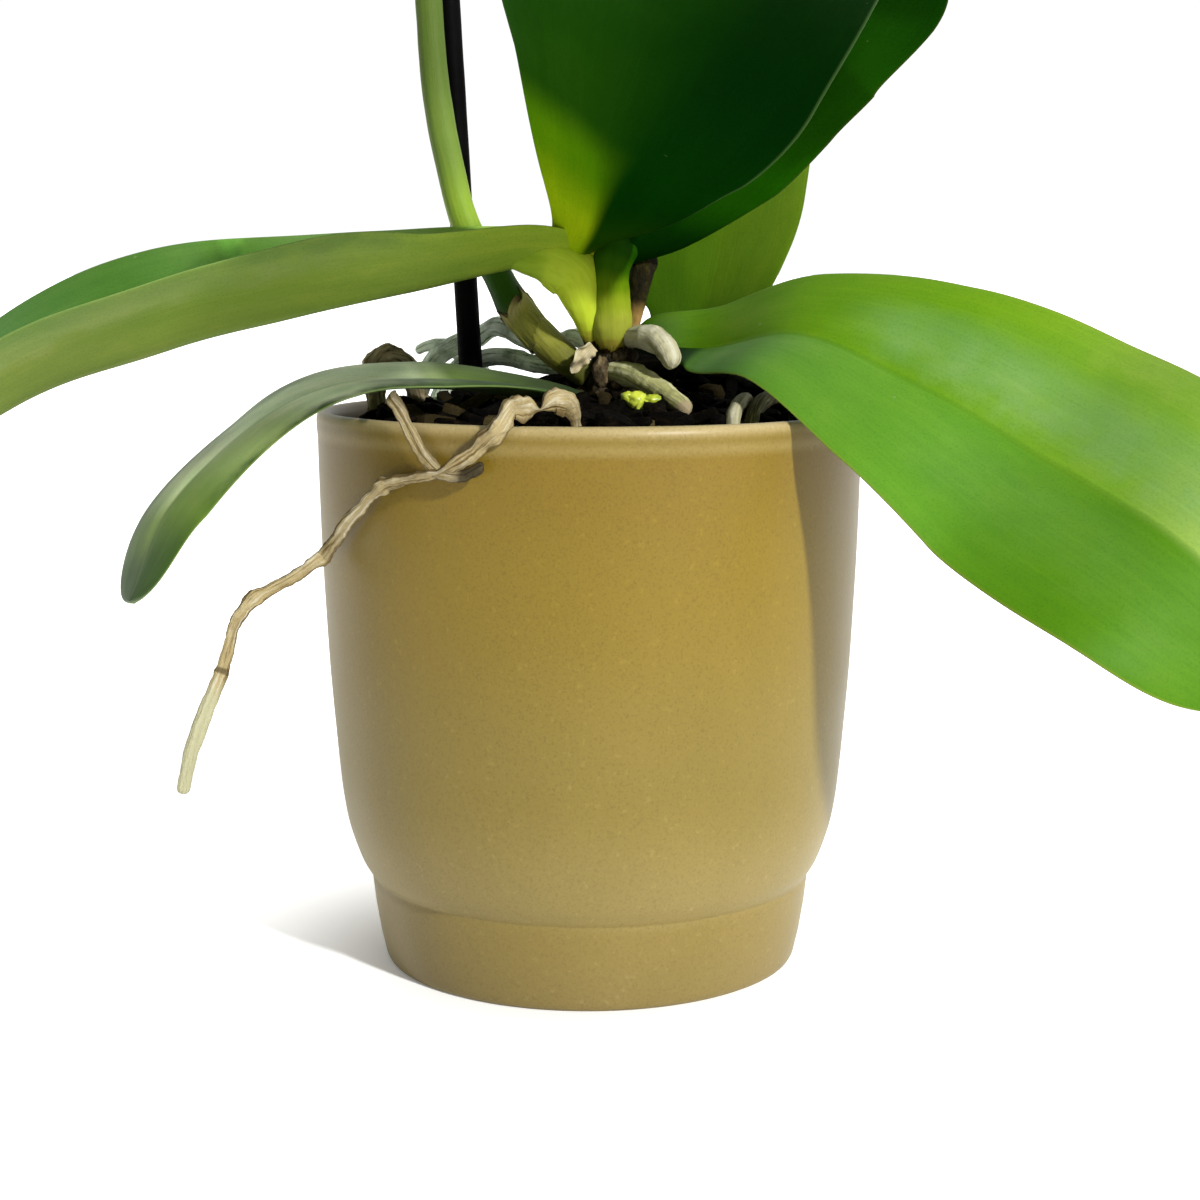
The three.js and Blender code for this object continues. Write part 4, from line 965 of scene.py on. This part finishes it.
callus_yellow = petal_material(
    "callus_yellow", (236, 190, 40), (214, 140, 30), (226, 170, 30), k=0.6, freckle=(140, 40, 24),
)
bud_green = petal_material("bud_green", (204, 214, 150), (158, 182, 90), (130, 160, 60), k=0.5)
for i, (share, centre, turn, nod, size) in enumerate(BLOOMS):
    spin = Matrix.Rotation(math.radians(turn), 4, "Z") @ Matrix.Rotation(math.radians(90 - nod), 4, "X")
    place = Matrix.Translation(centre) @ spin @ Matrix.Scale(size, 4)
    facing = np.array(spin @ Vector((0, 0, 1)))
    petals, lips = bloom(20 + 9 * i).moved(place), lip_of(60 + 9 * i).moved(place)
    piece(f"bloom_{i + 1}_petals", petals, [petal_white], [f"bloom_{i + 1}"])
    piece(f"lip_{i + 1}_shaped", lips, [lip_yellow, callus_yellow], [f"lip_{i + 1}"])
    end = np.array(centre) - facing * (BLOOM_BACK * size)
    spike.take(stalk(share, end, facing, [1.4, 1.3, 1.5, 2.2]), 0)
for i, (share, centre, size) in enumerate(BUDS):
    facing = np.subtract(centre, spike_at(share / SPANS)[0])
    facing[2] = -4
    facing = unit(facing)
    length = 17 * size
    bud = turned(smooth_profile(BUD_OUTLINE, 30) * length, 30)
    points = bud.points[0]
    angle = np.arctan2(points[:, 1], points[:, 0])
    points[:, :2] *= (1 - 0.05 * np.abs(np.cos(1.5 * angle)) ** 6)[:, None]
    aim = Vector((0, 0, 1)).rotation_difference(Vector(facing)).to_matrix().to_4x4()
    bud.moved(Matrix.Translation(centre) @ aim)
    marks = bud.marks[0]
    bud.marks[0] = rows_of(marks[:, 2], np.sin(marks[:, 0] * math.tau), 0 * marks[:, 0])
    piece(f"bud_{i + 1}_closed", bud, [bud_green], [f"bud_{i + 1}"])
    spike.take(stalk(share, np.array(centre) + facing * 0.6, facing, [1.1, 1, 1.1, 1.3]), 0)
piece("flower_spike_green", spike, [spike_material(), bract_material()], ["flower_spike"])

# Clips: each is a band round the stake and the spike.
CLIP_OUTER, CLIP_BORE = 4.8, 3.6


def clip_line(radius, reach):
    """A line of two half circles about 0 and reach."""
    half = np.linspace(np.pi / 2, 3 * np.pi / 2, 25)
    near = np.stack([radius * np.cos(half), radius * np.sin(half)], 1)
    far = np.stack([reach + radius * np.cos(half - np.pi), radius * np.sin(half - np.pi)], 1)
    return np.vstack([near, far])


for i, z in enumerate((298, 405)):
    rod = STAKE_FOOT + (STAKE_TOP - STAKE_FOOT) * (z - STAKE_FOOT[2]) / (STAKE_TOP[2] - STAKE_FOOT[2])
    shares = np.linspace(0.3, 0.6, 200)
    green = catmull(SPIKE, np.interp(z, catmull(SPIKE, shares)[:, 2], shares))[0]
    way = unit((green - rod) * (1, 1, 0))
    reach = np.linalg.norm((green - rod)[:2])
    beside = np.array([-way[1], way[0], 0])
    middle = rod + way * reach / 2
    outer, bore = clip_line(CLIP_OUTER, reach), clip_line(CLIP_BORE, reach)
    rows = [(outer, -2.1, 0), (outer, -1.6, 0.15), (outer, 1.6, 0.15), (outer, 2.1, 0)]
    rings = []
    for line, height, swell in [*rows, (bore, 2.5, 0), (bore, -2.5, 0)]:
        ring = rod + line[:, :1] * way + line[:, 1:] * beside + (0, 0, height)
        rings.append(ring + unit(ring - middle) * swell)
    points = np.vstack(rings)
    faces = [[k % len(points) for k in face] for face in loop_faces(len(rings) + 1, len(outer), False)]
    band = Shape().add(points, faces)
    piece(f"clip_{i + 1}_band", band, [clip_plastic], [f"clip_{i + 1}"], sharp=40)

# Crown: sheaths, old stem with leaf scars, stub, flake and new tip.
SHEATHS = [
    (
        [
            (1, -3, 160), (0.4, -4.4, 165), (-0.8, -5.8, 171), (-3.6, -5.6, 177.4), (-10, -5.4, 181),
            (-16.6, -6, 181.4), (-23.4, -6.2, 181),
        ],
        [2.6, 4.8, 7, 8.4, 7.2, 4.2, 0.8],
        [
            (0, 150, 152, 40), (0.2, 196, 214, 56), (0.42, 198, 218, 56), (0.6, 188, 210, 60),
            (0.8, 148, 176, 48), (1, 132, 160, 50),
        ],
    ),
    # The second sheath turns near black green towards its top: painted shade under the leaves over it.
    (
        [
            (5.5, -3, 158.5), (5.6, -4.4, 163), (5.2, -5.4, 169), (5, -5.8, 177), (7, -5.4, 184),
            (11, -5, 191),
        ],
        [3.6, 5.5, 5.4, 5.2, 5.4, 4.6],
        [
            (0, 136, 136, 44), (0.2, 148, 154, 54), (0.36, 126, 142, 28), (0.48, 90, 118, 6),
            (0.62, 44, 84, 0), (0.76, 24, 66, 0), (1, 6, 50, 0),
        ],
    ),
    (
        [(4, 2.5, 157.5), (5, 4, 163), (5, 4, 170), (1, 1, 179)],
        [3.6, 5.4, 6, 5.4],
        [(0, 132, 142, 40), (0.5, 128, 152, 40), (1, 84, 124, 16)],
    ),
]
sheaths, skins = Shape(), []
for k, (line, radii, stops) in enumerate(SHEATHS):
    broad = 0.74 if k == 0 else 0.95
    skin = tube(
        line, radii, steps=70, sides=44, rough=(0.05, 6, 30 + k), ridges=(9, 0.012), flat=broad,
        twist=(0.5, 0),
    )
    sheaths.take(skin, k)
    skins.append(sheath_material(f"sheath_green_{k + 1}", stops))
piece("sheaths_green", sheaths, skins, ["sheaths"])

STEM = [(1, 2, 104), (2, 0, 124), (3.5, -2, 142), (4.5, -2, 152), (5, -1, 161)]
stem = tube(STEM, [4, 6.5, 6.8, 5.4, 4.2], steps=80, sides=30, rough=(0.22, 4, 40), blunt=False)


def knob(centre, halves, seed):
    """A rough rounded lump."""
    rows, columns = 16, 22
    lat = math.pi * np.arange(rows + 1)[:, None] / rows
    lon = math.tau * np.arange(columns) / columns
    points = rows_of(np.sin(lat) * np.cos(lon), np.sin(lat) * np.sin(lon), np.cos(lat))
    swell = 1 + 0.25 * perlin(points * 3, 1.6, seed) + 0.1 * perlin(points * 3, 0.7, seed)
    return Shape().add(np.array(centre) + points * swell[:, None] * halves, loop_faces(rows + 1, columns))


SCARS = [
    ((3, -6.8, 153), (2.3, 2.1, 4.1)), ((7.4, -6.4, 151), (2, 1.8, 2.6)),
    ((7.6, -6.2, 157), (1.9, 1.8, 1.7)), ((3.4, -7.4, 147.6), (2.2, 1.7, 1.4)),
    ((0, 3, 150), (3, 2.4, 3)), ((7, 3.5, 147), (2.8, 2.8, 3.2)), ((-2, -2, 146), (2.4, 2.8, 3)),
    ((9.4, -0.6, 156.4), (3, 2.6, 4)), ((8.6, -1.6, 151.6), (3, 2.8, 3)),
]
for k, (centre, halves) in enumerate(SCARS):
    stem.take(knob(centre, halves, 50 + k), 1)
wood = wood_material("old_stem", (6, 5, 3), (28, 22, 12), (76, 66, 42))
scar = wood_material("leaf_scars", (26, 20, 14), (80, 68, 46), (134, 118, 86))
piece("stem_woody", stem, [wood, scar], ["stem"])

STUB = [(11, 0, 162), (11.9, 0.5, 168), (12.5, 1, 173), (13.4, 1.6, 178), (14.8, 2.2, 184)]
# The stub is painted near black above for the shadow of the leaf over it, and tan at its foot.
stub_painted_shade = wood_material(
    "stub_painted_shade", (8, 7, 1), (26, 22, 3), (52, 46, 10), end=(0.42, 0.2, 138, 110, 60),
)
stub = tube(STUB, [1.4, 2.1, 2.9, 3.6, 4.2], 40, 24, (0.14, 3, 61), flat=0.85, ridges=(7, 0.04))
piece("leaf_stub_old", stub, [stub_painted_shade], ["leaf_stub"])

PAPER = dict(
    base=(204, 184, 132), dark=(112, 88, 38), light=(238, 228, 196), k=0.52, rough=0.88, streak=2.2,
    mottled=0.5,
)
dry = root_material(
    "root_dry_paper", **PAPER, end=(0.825, 214, 212, 170), bump=1.0, rims=0.8, bands=(0.822,),
)
snag = root_material("root_dry_snag", **PAPER, end=(0.86, 52, 42, 22), bump=1.0, rims=0.5, core=0.85)
flaky = root_material(
    "sheath_flake_tan", (224, 208, 160), (150, 126, 74), (244, 236, 208), k=0.72, rough=0.88,
)
loop = root_material(
    "root_loop_brown", (176, 160, 120), (58, 48, 24), (222, 208, 172), k=0.62, rough=0.85, streak=3,
)
pale = root_material(
    "root_pale_skin", (218, 212, 170), (146, 142, 96), (244, 240, 212), k=0.54, rough=0.7, streak=1.4,
)
green = root_material(
    "root_green_skin", (186, 186, 122), (128, 124, 66), (214, 212, 164), k=0.66, rough=0.72, streak=1.6,
    mottled=0.35, end=(0.92, 178, 158, 124),
)
# Painted shade: the back and right roots are painted near black, standing in for the deep shade behind the
# crown.
painted_shade = root_material("root_painted_shade_skin", (34, 32, 16), (8, 7, 4), (66, 62, 36), k=0.5, rough=0.8, streak=2.4)
silver = root_material(
    "root_silver_skin", (214, 226, 204), (92, 106, 80), (238, 244, 230), k=1.08, rough=0.8, streak=3,
    mottled=0.8,
)
striped = root_material(
    "root_striped_skin", (140, 136, 80), (60, 56, 22), (216, 210, 160), k=0.58, rough=0.75, streak=5,
)

flake = dict(
    spine=[(0.8, -7.8, 159.6), (-1.8, -8.6, 157), (-4.6, -8.2, 152.8)], roll=[68, 84], fold=[-20, -26],
    petiole=1.8, widest=2.5, at=0.42, rib=0.9, margin=0.6, swell=1.5, swell_size=2.4, seed=9, groove=0.1,
    keel=0.1, wave=(0.8, 5), blunt=1.5,
)
piece("sheath_flake_dry", blade(flake, 24, 9), [flaky], ["sheath_flake"])

ROOTS = {
    "root_pale": (
        [
            (10.6, -4.6, 161.4), (12.6, -8.6, 162), (15, -13, 161.8), (17.8, -17, 160.4),
            (19.8, -20.2, 157.6), (20.4, -22, 154.6),
        ],
        [2.6, 3.1, 3.3, 3, 2.3], pale, "pale_root",
    ),
    "root_green": (
        [(4, -3, 153.4), (11.3, -11, 152.2), (17.3, -18, 148.9), (22, -24, 146), (24.4, -27.4, 144.4)],
        [2.8, 3.2, 3.1, 2.7, 2.1], green, "green_root",
    ),
    "root_silver_1": (
        [
            (3, 3, 157), (-3, 11, 161), (-13, 18, 159), (-24, 25, 163.6), (-30, 28, 160.7),
            (-37, 28, 158), (-43, 28, 153), (-49, 26, 138),
        ],
        [2.2, 2.5, 2.6, 2.5, 2.6], silver, "silver_root",
    ),
    "root_silver_2": (
        [
            (2, 4, 150), (-5, 13, 152.5), (-14, 18, 154), (-21, 22, 155.4), (-28.5, 24.5, 155),
            (-36, 22.5, 152), (-43, 19, 139),
        ],
        [2.2, 2.4, 2.4, 2.4], silver, "silver_root",
    ),
    "root_silver_3": (
        [(-22, 35, 136), (-30, 37, 151), (-38.6, 38, 157.6), (-44, 38, 158), (-48, 38, 156.4)],
        [2.4, 2.4, 2.2, 1.2], silver, "silver_root",
    ),
    "root_loop": (
        [
            (-42, 1, 138), (-46, -1.6, 152), (-48.6, -3.6, 155.8), (-51.6, -5.6, 157),
            (-54.2, -8, 155.8), (-54.6, -8.8, 152), (-53.8, -8.8, 138),
        ],
        [2.3, 2.6, 2.9, 2.6, 2.2], loop, "dry_root",
    ),
    "root_back": (
        [(4, 4, 146), (6, 17, 150), (5, 31, 149), (1, 44, 145), (-2, 50, 136)], [2.4, 2.8, 2.7, 2.2],
        painted_shade, "green_root",
    ),
    "root_right": (
        [
            (6, 0, 152.4), (12, 2.6, 155.4), (19, 5.6, 155.6), (30, 10, 153.6), (42, 13, 148),
            (48, 14, 136),
        ],
        [2.6, 3, 3, 2.2], painted_shade, "green_root",
    ),
    "root_strap_1": (
        [
            (52, -8, 137), (49, -16, 147), (44, -26, 147.4), (40.4, -34, 145.2), (38, -41, 139),
            (37, -43, 134),
        ],
        [1.6, 2, 2, 1.8], striped, "green_root",
    ),
    "root_strap_2": (
        [(38, -22, 136), (38.6, -27, 146), (37, -33, 147), (34.6, -41, 143.6), (33.6, -45, 134)],
        [1.4, 1.8, 1.8, 1.6], pale, "pale_root",
    ),
}
for k, (name, (line, radii, skin, slot)) in enumerate(ROOTS.items()):
    uneven = (0.3, 3, 70 + k) if skin is loop else (0.16, 4.5, 70 + k)
    shape = tube(line, radii, steps=110, sides=24, rough=uneven, ridges=(3, 0.05))
    piece(name + "_skin", shape, [skin], [name])

DRY = [
    (-2, -54, 136), (-3.2, -57, 145), (-5.4, -59, 148.6), (-8.4, -61, 148.8), (-11, -63, 147),
    (-14, -65.4, 147.8), (-17.4, -70.2, 147.6), (-20, -70.2, 143.8), (-25.8, -68.2, 138),
    (-34.1, -64.6, 132.6), (-47.7, -55.4, 129.1), (-57.6, -45.4, 119.4), (-65, -35, 109.7),
    (-72.8, -38, 104.5), (-80.8, -42, 100.5), (-85.4, -43.4, 95), (-88.5, -46, 83.3), (-92.5, -48, 73.8),
    (-96, -50, 64), (-98, -52, 54),
]
BRANCH = [
    (-42.5, -29, 138), (-45, -41, 146), (-46.2, -50, 149.4), (-45.8, -56.2, 149), (-43.8, -58, 146.6),
    (-41.2, -60, 142), (-37.7, -62.2, 136), (-34, -64.2, 132.6), (-28.2, -66.8, 132.1),
    (-23.7, -68.6, 134.8),
]
DRY_KNOTS = [
    (0.085, 0.02, 1.1), (0.123, 0.011, -1.9), (0.16, 0.02, 0.9), (0.22, 0.02, 0.6), (0.31, 0.012, -0.5),
    (0.36, 0.01, -0.3), (0.415, 0.01, 0.8), (0.5, 0.02, 0.2), (0.6, 0.012, 0.5), (0.711, 0.014, 0.7),
    (0.822, 0.006, 0.25),
]
dry_root = tube(
    DRY, [1.6, 2.1, 2.1, 1.6, 1.5, 1.6, 1.5, 1.5, 1.9, 1.5], steps=520, sides=30, rough=(0.34, 3.6, 90),
    ridges=(3, 0.12), flat=0.55, twist=(0.5, 0.2), kink=0.6, calm=0.83, knots=DRY_KNOTS,
)
dry_branch = tube(
    BRANCH, [1, 1.15, 1.25, 1.2, 1.3, 1.4], steps=240, sides=30, rough=(0.3, 3.4, 92), ridges=(2, 0.22),
    flat=0.55, twist=(0.5, -0.3), kink=0.4,
)
dry_root.take(dry_branch, 1)
piece("root_dry_papery", dry_root, [dry, snag], ["root_dry"])

NEW_TIP = [
    ((11.6, -25.6, 147), (3.3, 2.7, 2.2)), ((15.6, -26.6, 147), (2.3, 1.9, 1.5)),
    ((13.4, -27.6, 145), (2.1, 1.9, 2.2)), ((9.4, -26, 147.8), (1.7, 1.5, 1.3)),
]
tip = Shape()
for k, (centre, halves) in enumerate(NEW_TIP):
    tip.take(knob(centre, halves, 95 + k))
piece("new_root_tip_bright", tip, [shoot_material()], ["new_root_tip"])

# Bark: a sunken bed with loose chips of several sizes over it.
draw = random.Random(11)
BARK_SIDE = 60.4


def bark_top(x, y):
    """A flat dome with a mound behind the crown, which puts dark chips where there is deep shade."""
    dome = 144.5 - 5 * (math.hypot(x, y) / BARK_SIDE) ** 4
    return dome + 7.6 * math.exp(-(((x - 18) / 26) ** 2 + ((y - 15) / 12) ** 2) / 2)


def bed_top(x, y):
    """The uneven surface under the chips."""
    coarse, fine = noise.noise(Vector((x, y, 3)) / 7), noise.noise(Vector((x, y, 9)) / 2.4)
    return bark_top(x, y) - 1.8 + 2.2 * coarse + 0.9 * fine


SECTORS = 96
bed_points = []
bed_rings = [(44.2, 7.2), (BARK_SIDE - 0.4, 137)]
bed_rings += [(radius, None) for radius in (58, 54, 50, 45, 40, 35, 30, 25, 20, 15, 10, 5)]
for radius, height in bed_rings:
    for k in range(SECTORS):
        x, y = radius * math.cos(math.tau * k / SECTORS), radius * math.sin(math.tau * k / SECTORS)
        bed_points.append((x, y, bed_top(x, y) if height is None else height))
bed_faces = loop_faces(len(bed_rings), SECTORS, False)
bottom, last = len(bed_points), len(bed_points) - SECTORS
bed_points += [(0, 0, 7.2), (0, 0, 143.5)]
for k in range(SECTORS):
    after = (k + 1) % SECTORS
    bed_faces += [(bottom, after, k), (last + k, last + after, bottom + 1)]
bark = Shape().add(bed_points, bed_faces, np.tile([0.2, 0, 0], (len(bed_points), 1)))


def rounded_box(n):
    """A box from -1 to 1 with soft edges, with n by n points on each side."""
    points, faces = [], []
    steps = np.linspace(-1, 1, n)
    for side, (axis, sign) in enumerate(((0, -1), (0, 1), (1, -1), (1, 1), (2, -1), (2, 1))):
        points += [np.insert([a, b], axis, sign) for a in steps for b in steps]
        for a in range(n - 1):
            for b in range(n - 1):
                p = side * n * n + a * n + b
                quad = (p, p + 1, p + n + 1, p + n)
                faces.append(quad if (sign > 0) == (axis != 1) else quad[::-1])
    points = np.array(points)
    return points / (np.abs(points) ** 7).sum(1, keepdims=True) ** (1 / 7), faces


CHIP_COUNT = 330
GOLDEN_TURN = 2.39996
SPIN, TILT = 6.28, 0.5
block, faces = rounded_box(5)
for i in range(CHIP_COUNT):
    radius = min(60 * math.sqrt((i + 0.5) / CHIP_COUNT), 57)
    angle = i * GOLDEN_TURN + draw.uniform(-0.3, 0.3)
    long, wide, deep = draw.uniform(5, 15), draw.uniform(3.5, 8), draw.uniform(1.6, 4.2)
    points = block * 0.5 * np.array([long, wide, deep])
    points[:, 1] *= 1 - draw.uniform(0.1, 0.5) * (points[:, 0] / long + 0.5)
    points[:, 0] += draw.uniform(-0.4, 0.4) * points[:, 1]
    points[:, 2] += draw.uniform(-0.03, 0.03) * points[:, 0] ** 2 / 2
    swell = perlin(points, 2.6, i % 50) * 0.55 + perlin(points, 1.1, i % 50 + 3) * 0.25
    points += unit(points) * swell[:, None]
    spin = Matrix.Rotation(draw.uniform(0, SPIN), 4, "Z")
    for axis in "YX":
        spin = spin @ Matrix.Rotation(draw.uniform(-TILT, TILT), 4, axis)
    reach = max((spin @ Vector((long / 2, 0, 0))).to_2d().length, wide / 2)
    out = min(radius, BARK_SIDE - reach - 0.5)
    rise = draw.uniform(-1.8, 1.0)
    x, y = out * math.cos(angle), out * math.sin(angle)
    here = Matrix.Translation((x, y, bark_top(x, y) + rise))
    marks = np.tile([draw.random(), 0, 0], (len(points), 1))
    bark.take(Shape().add(points, faces, marks).moved(here @ spin))
piece("bark_bed", bark, [bark_material()], ["bark"], sharp=45)

# Floor, world, lights and camera.
scene = bpy.context.scene
floor_mesh = bpy.data.meshes.new("floor")
FLOOR = 60
corners = [(x * FLOOR, y * FLOOR, 0) for x, y in ((-1, -1), (1, -1), (1, 1), (-1, 1))]
floor_mesh.from_pydata(corners, [], [(0, 1, 2, 3)])
floor = bpy.data.objects.new("floor", floor_mesh)
scene.collection.objects.link(floor)
# The floor glows, less near the pot's foot: painted light that washes its cast shadow out away from the pot,
# so the shadow shows only close to the foot.
floor_shade = Shade("floor_white", Specular_IOR_Level=0.1, Emission_Color=(1, 1, 1, 1))
away = floor_shade.away()
painted_floor_glow = floor_shade.range(away, 0.052, 0.104, 0.12, 0.62)
floor_shade.put(floor_shade.shader.inputs["Emission Strength"], painted_floor_glow)
floor_shade.colour = rgb(250, 250, 249)
floor_shade.finish(0.9, [(floor_shade.noise(300.0), 1.0)], 0.03, 0.0002)
floor_mesh.materials.append(floor_shade.material)

world = bpy.data.worlds.new("studio")
world.use_nodes = True
room = world.node_tree
direction = room.nodes.new("ShaderNodeTexCoord").outputs["Generated"]
lean = room.nodes.new("ShaderNodeVectorMath")
lean.operation = "DOT_PRODUCT"
room.links.new(direction, lean.inputs[0])
BRIGHT_SIDE = (0.42, 0.86, 0.28)
lean.inputs[1].default_value = BRIGHT_SIDE
soft = room.nodes.new("ShaderNodeMapRange")
soft.interpolation_type = "SMOOTHSTEP"
room.links.new(lean.outputs["Value"], soft.inputs["Value"])
for key, value in {"From Min": -0.1, "From Max": 0.62, "To Min": 0.2, "To Max": 1.04}.items():
    soft.inputs[key].default_value = value
room.nodes["Background"].inputs["Color"].default_value = (1, 1, 1, 1)
room.links.new(soft.outputs["Result"], room.nodes["Background"].inputs["Strength"])
scene.world = world

KEY_TURN, KEY_RISE = math.radians(37.5), math.radians(27)
KEY_TARGET = Vector((0, 0, 0.15))
KEY_DISTANCE, KEY_ENERGY, KEY_ANGLE = 2, 4.85, math.radians(4)
key_data = bpy.data.lights.new("key", "SUN")
key_data.energy = KEY_ENERGY
key_data.angle = KEY_ANGLE
key = bpy.data.objects.new("key", key_data)
way = Vector((math.sin(KEY_TURN), -math.cos(KEY_TURN), math.tan(KEY_RISE))) * math.cos(KEY_RISE)
key.location = way * KEY_DISTANCE + KEY_TARGET
key.rotation_euler = (-way).to_track_quat("-Z", "Y").to_euler()
scene.collection.objects.link(key)

camera_data = bpy.data.cameras.new("camera")
camera_data.sensor_width = 36
camera_data.lens = 65
camera = bpy.data.objects.new("camera", camera_data)
camera.location = (0.00266, -0.560, 0.179)
CAMERA_PITCH = math.radians(-8.7)
camera.rotation_euler = (math.radians(90) + CAMERA_PITCH, 0, 0)
scene.collection.objects.link(camera)
scene.camera = camera
scene.view_settings.view_transform = "Standard"
scene.view_settings.look = "None"
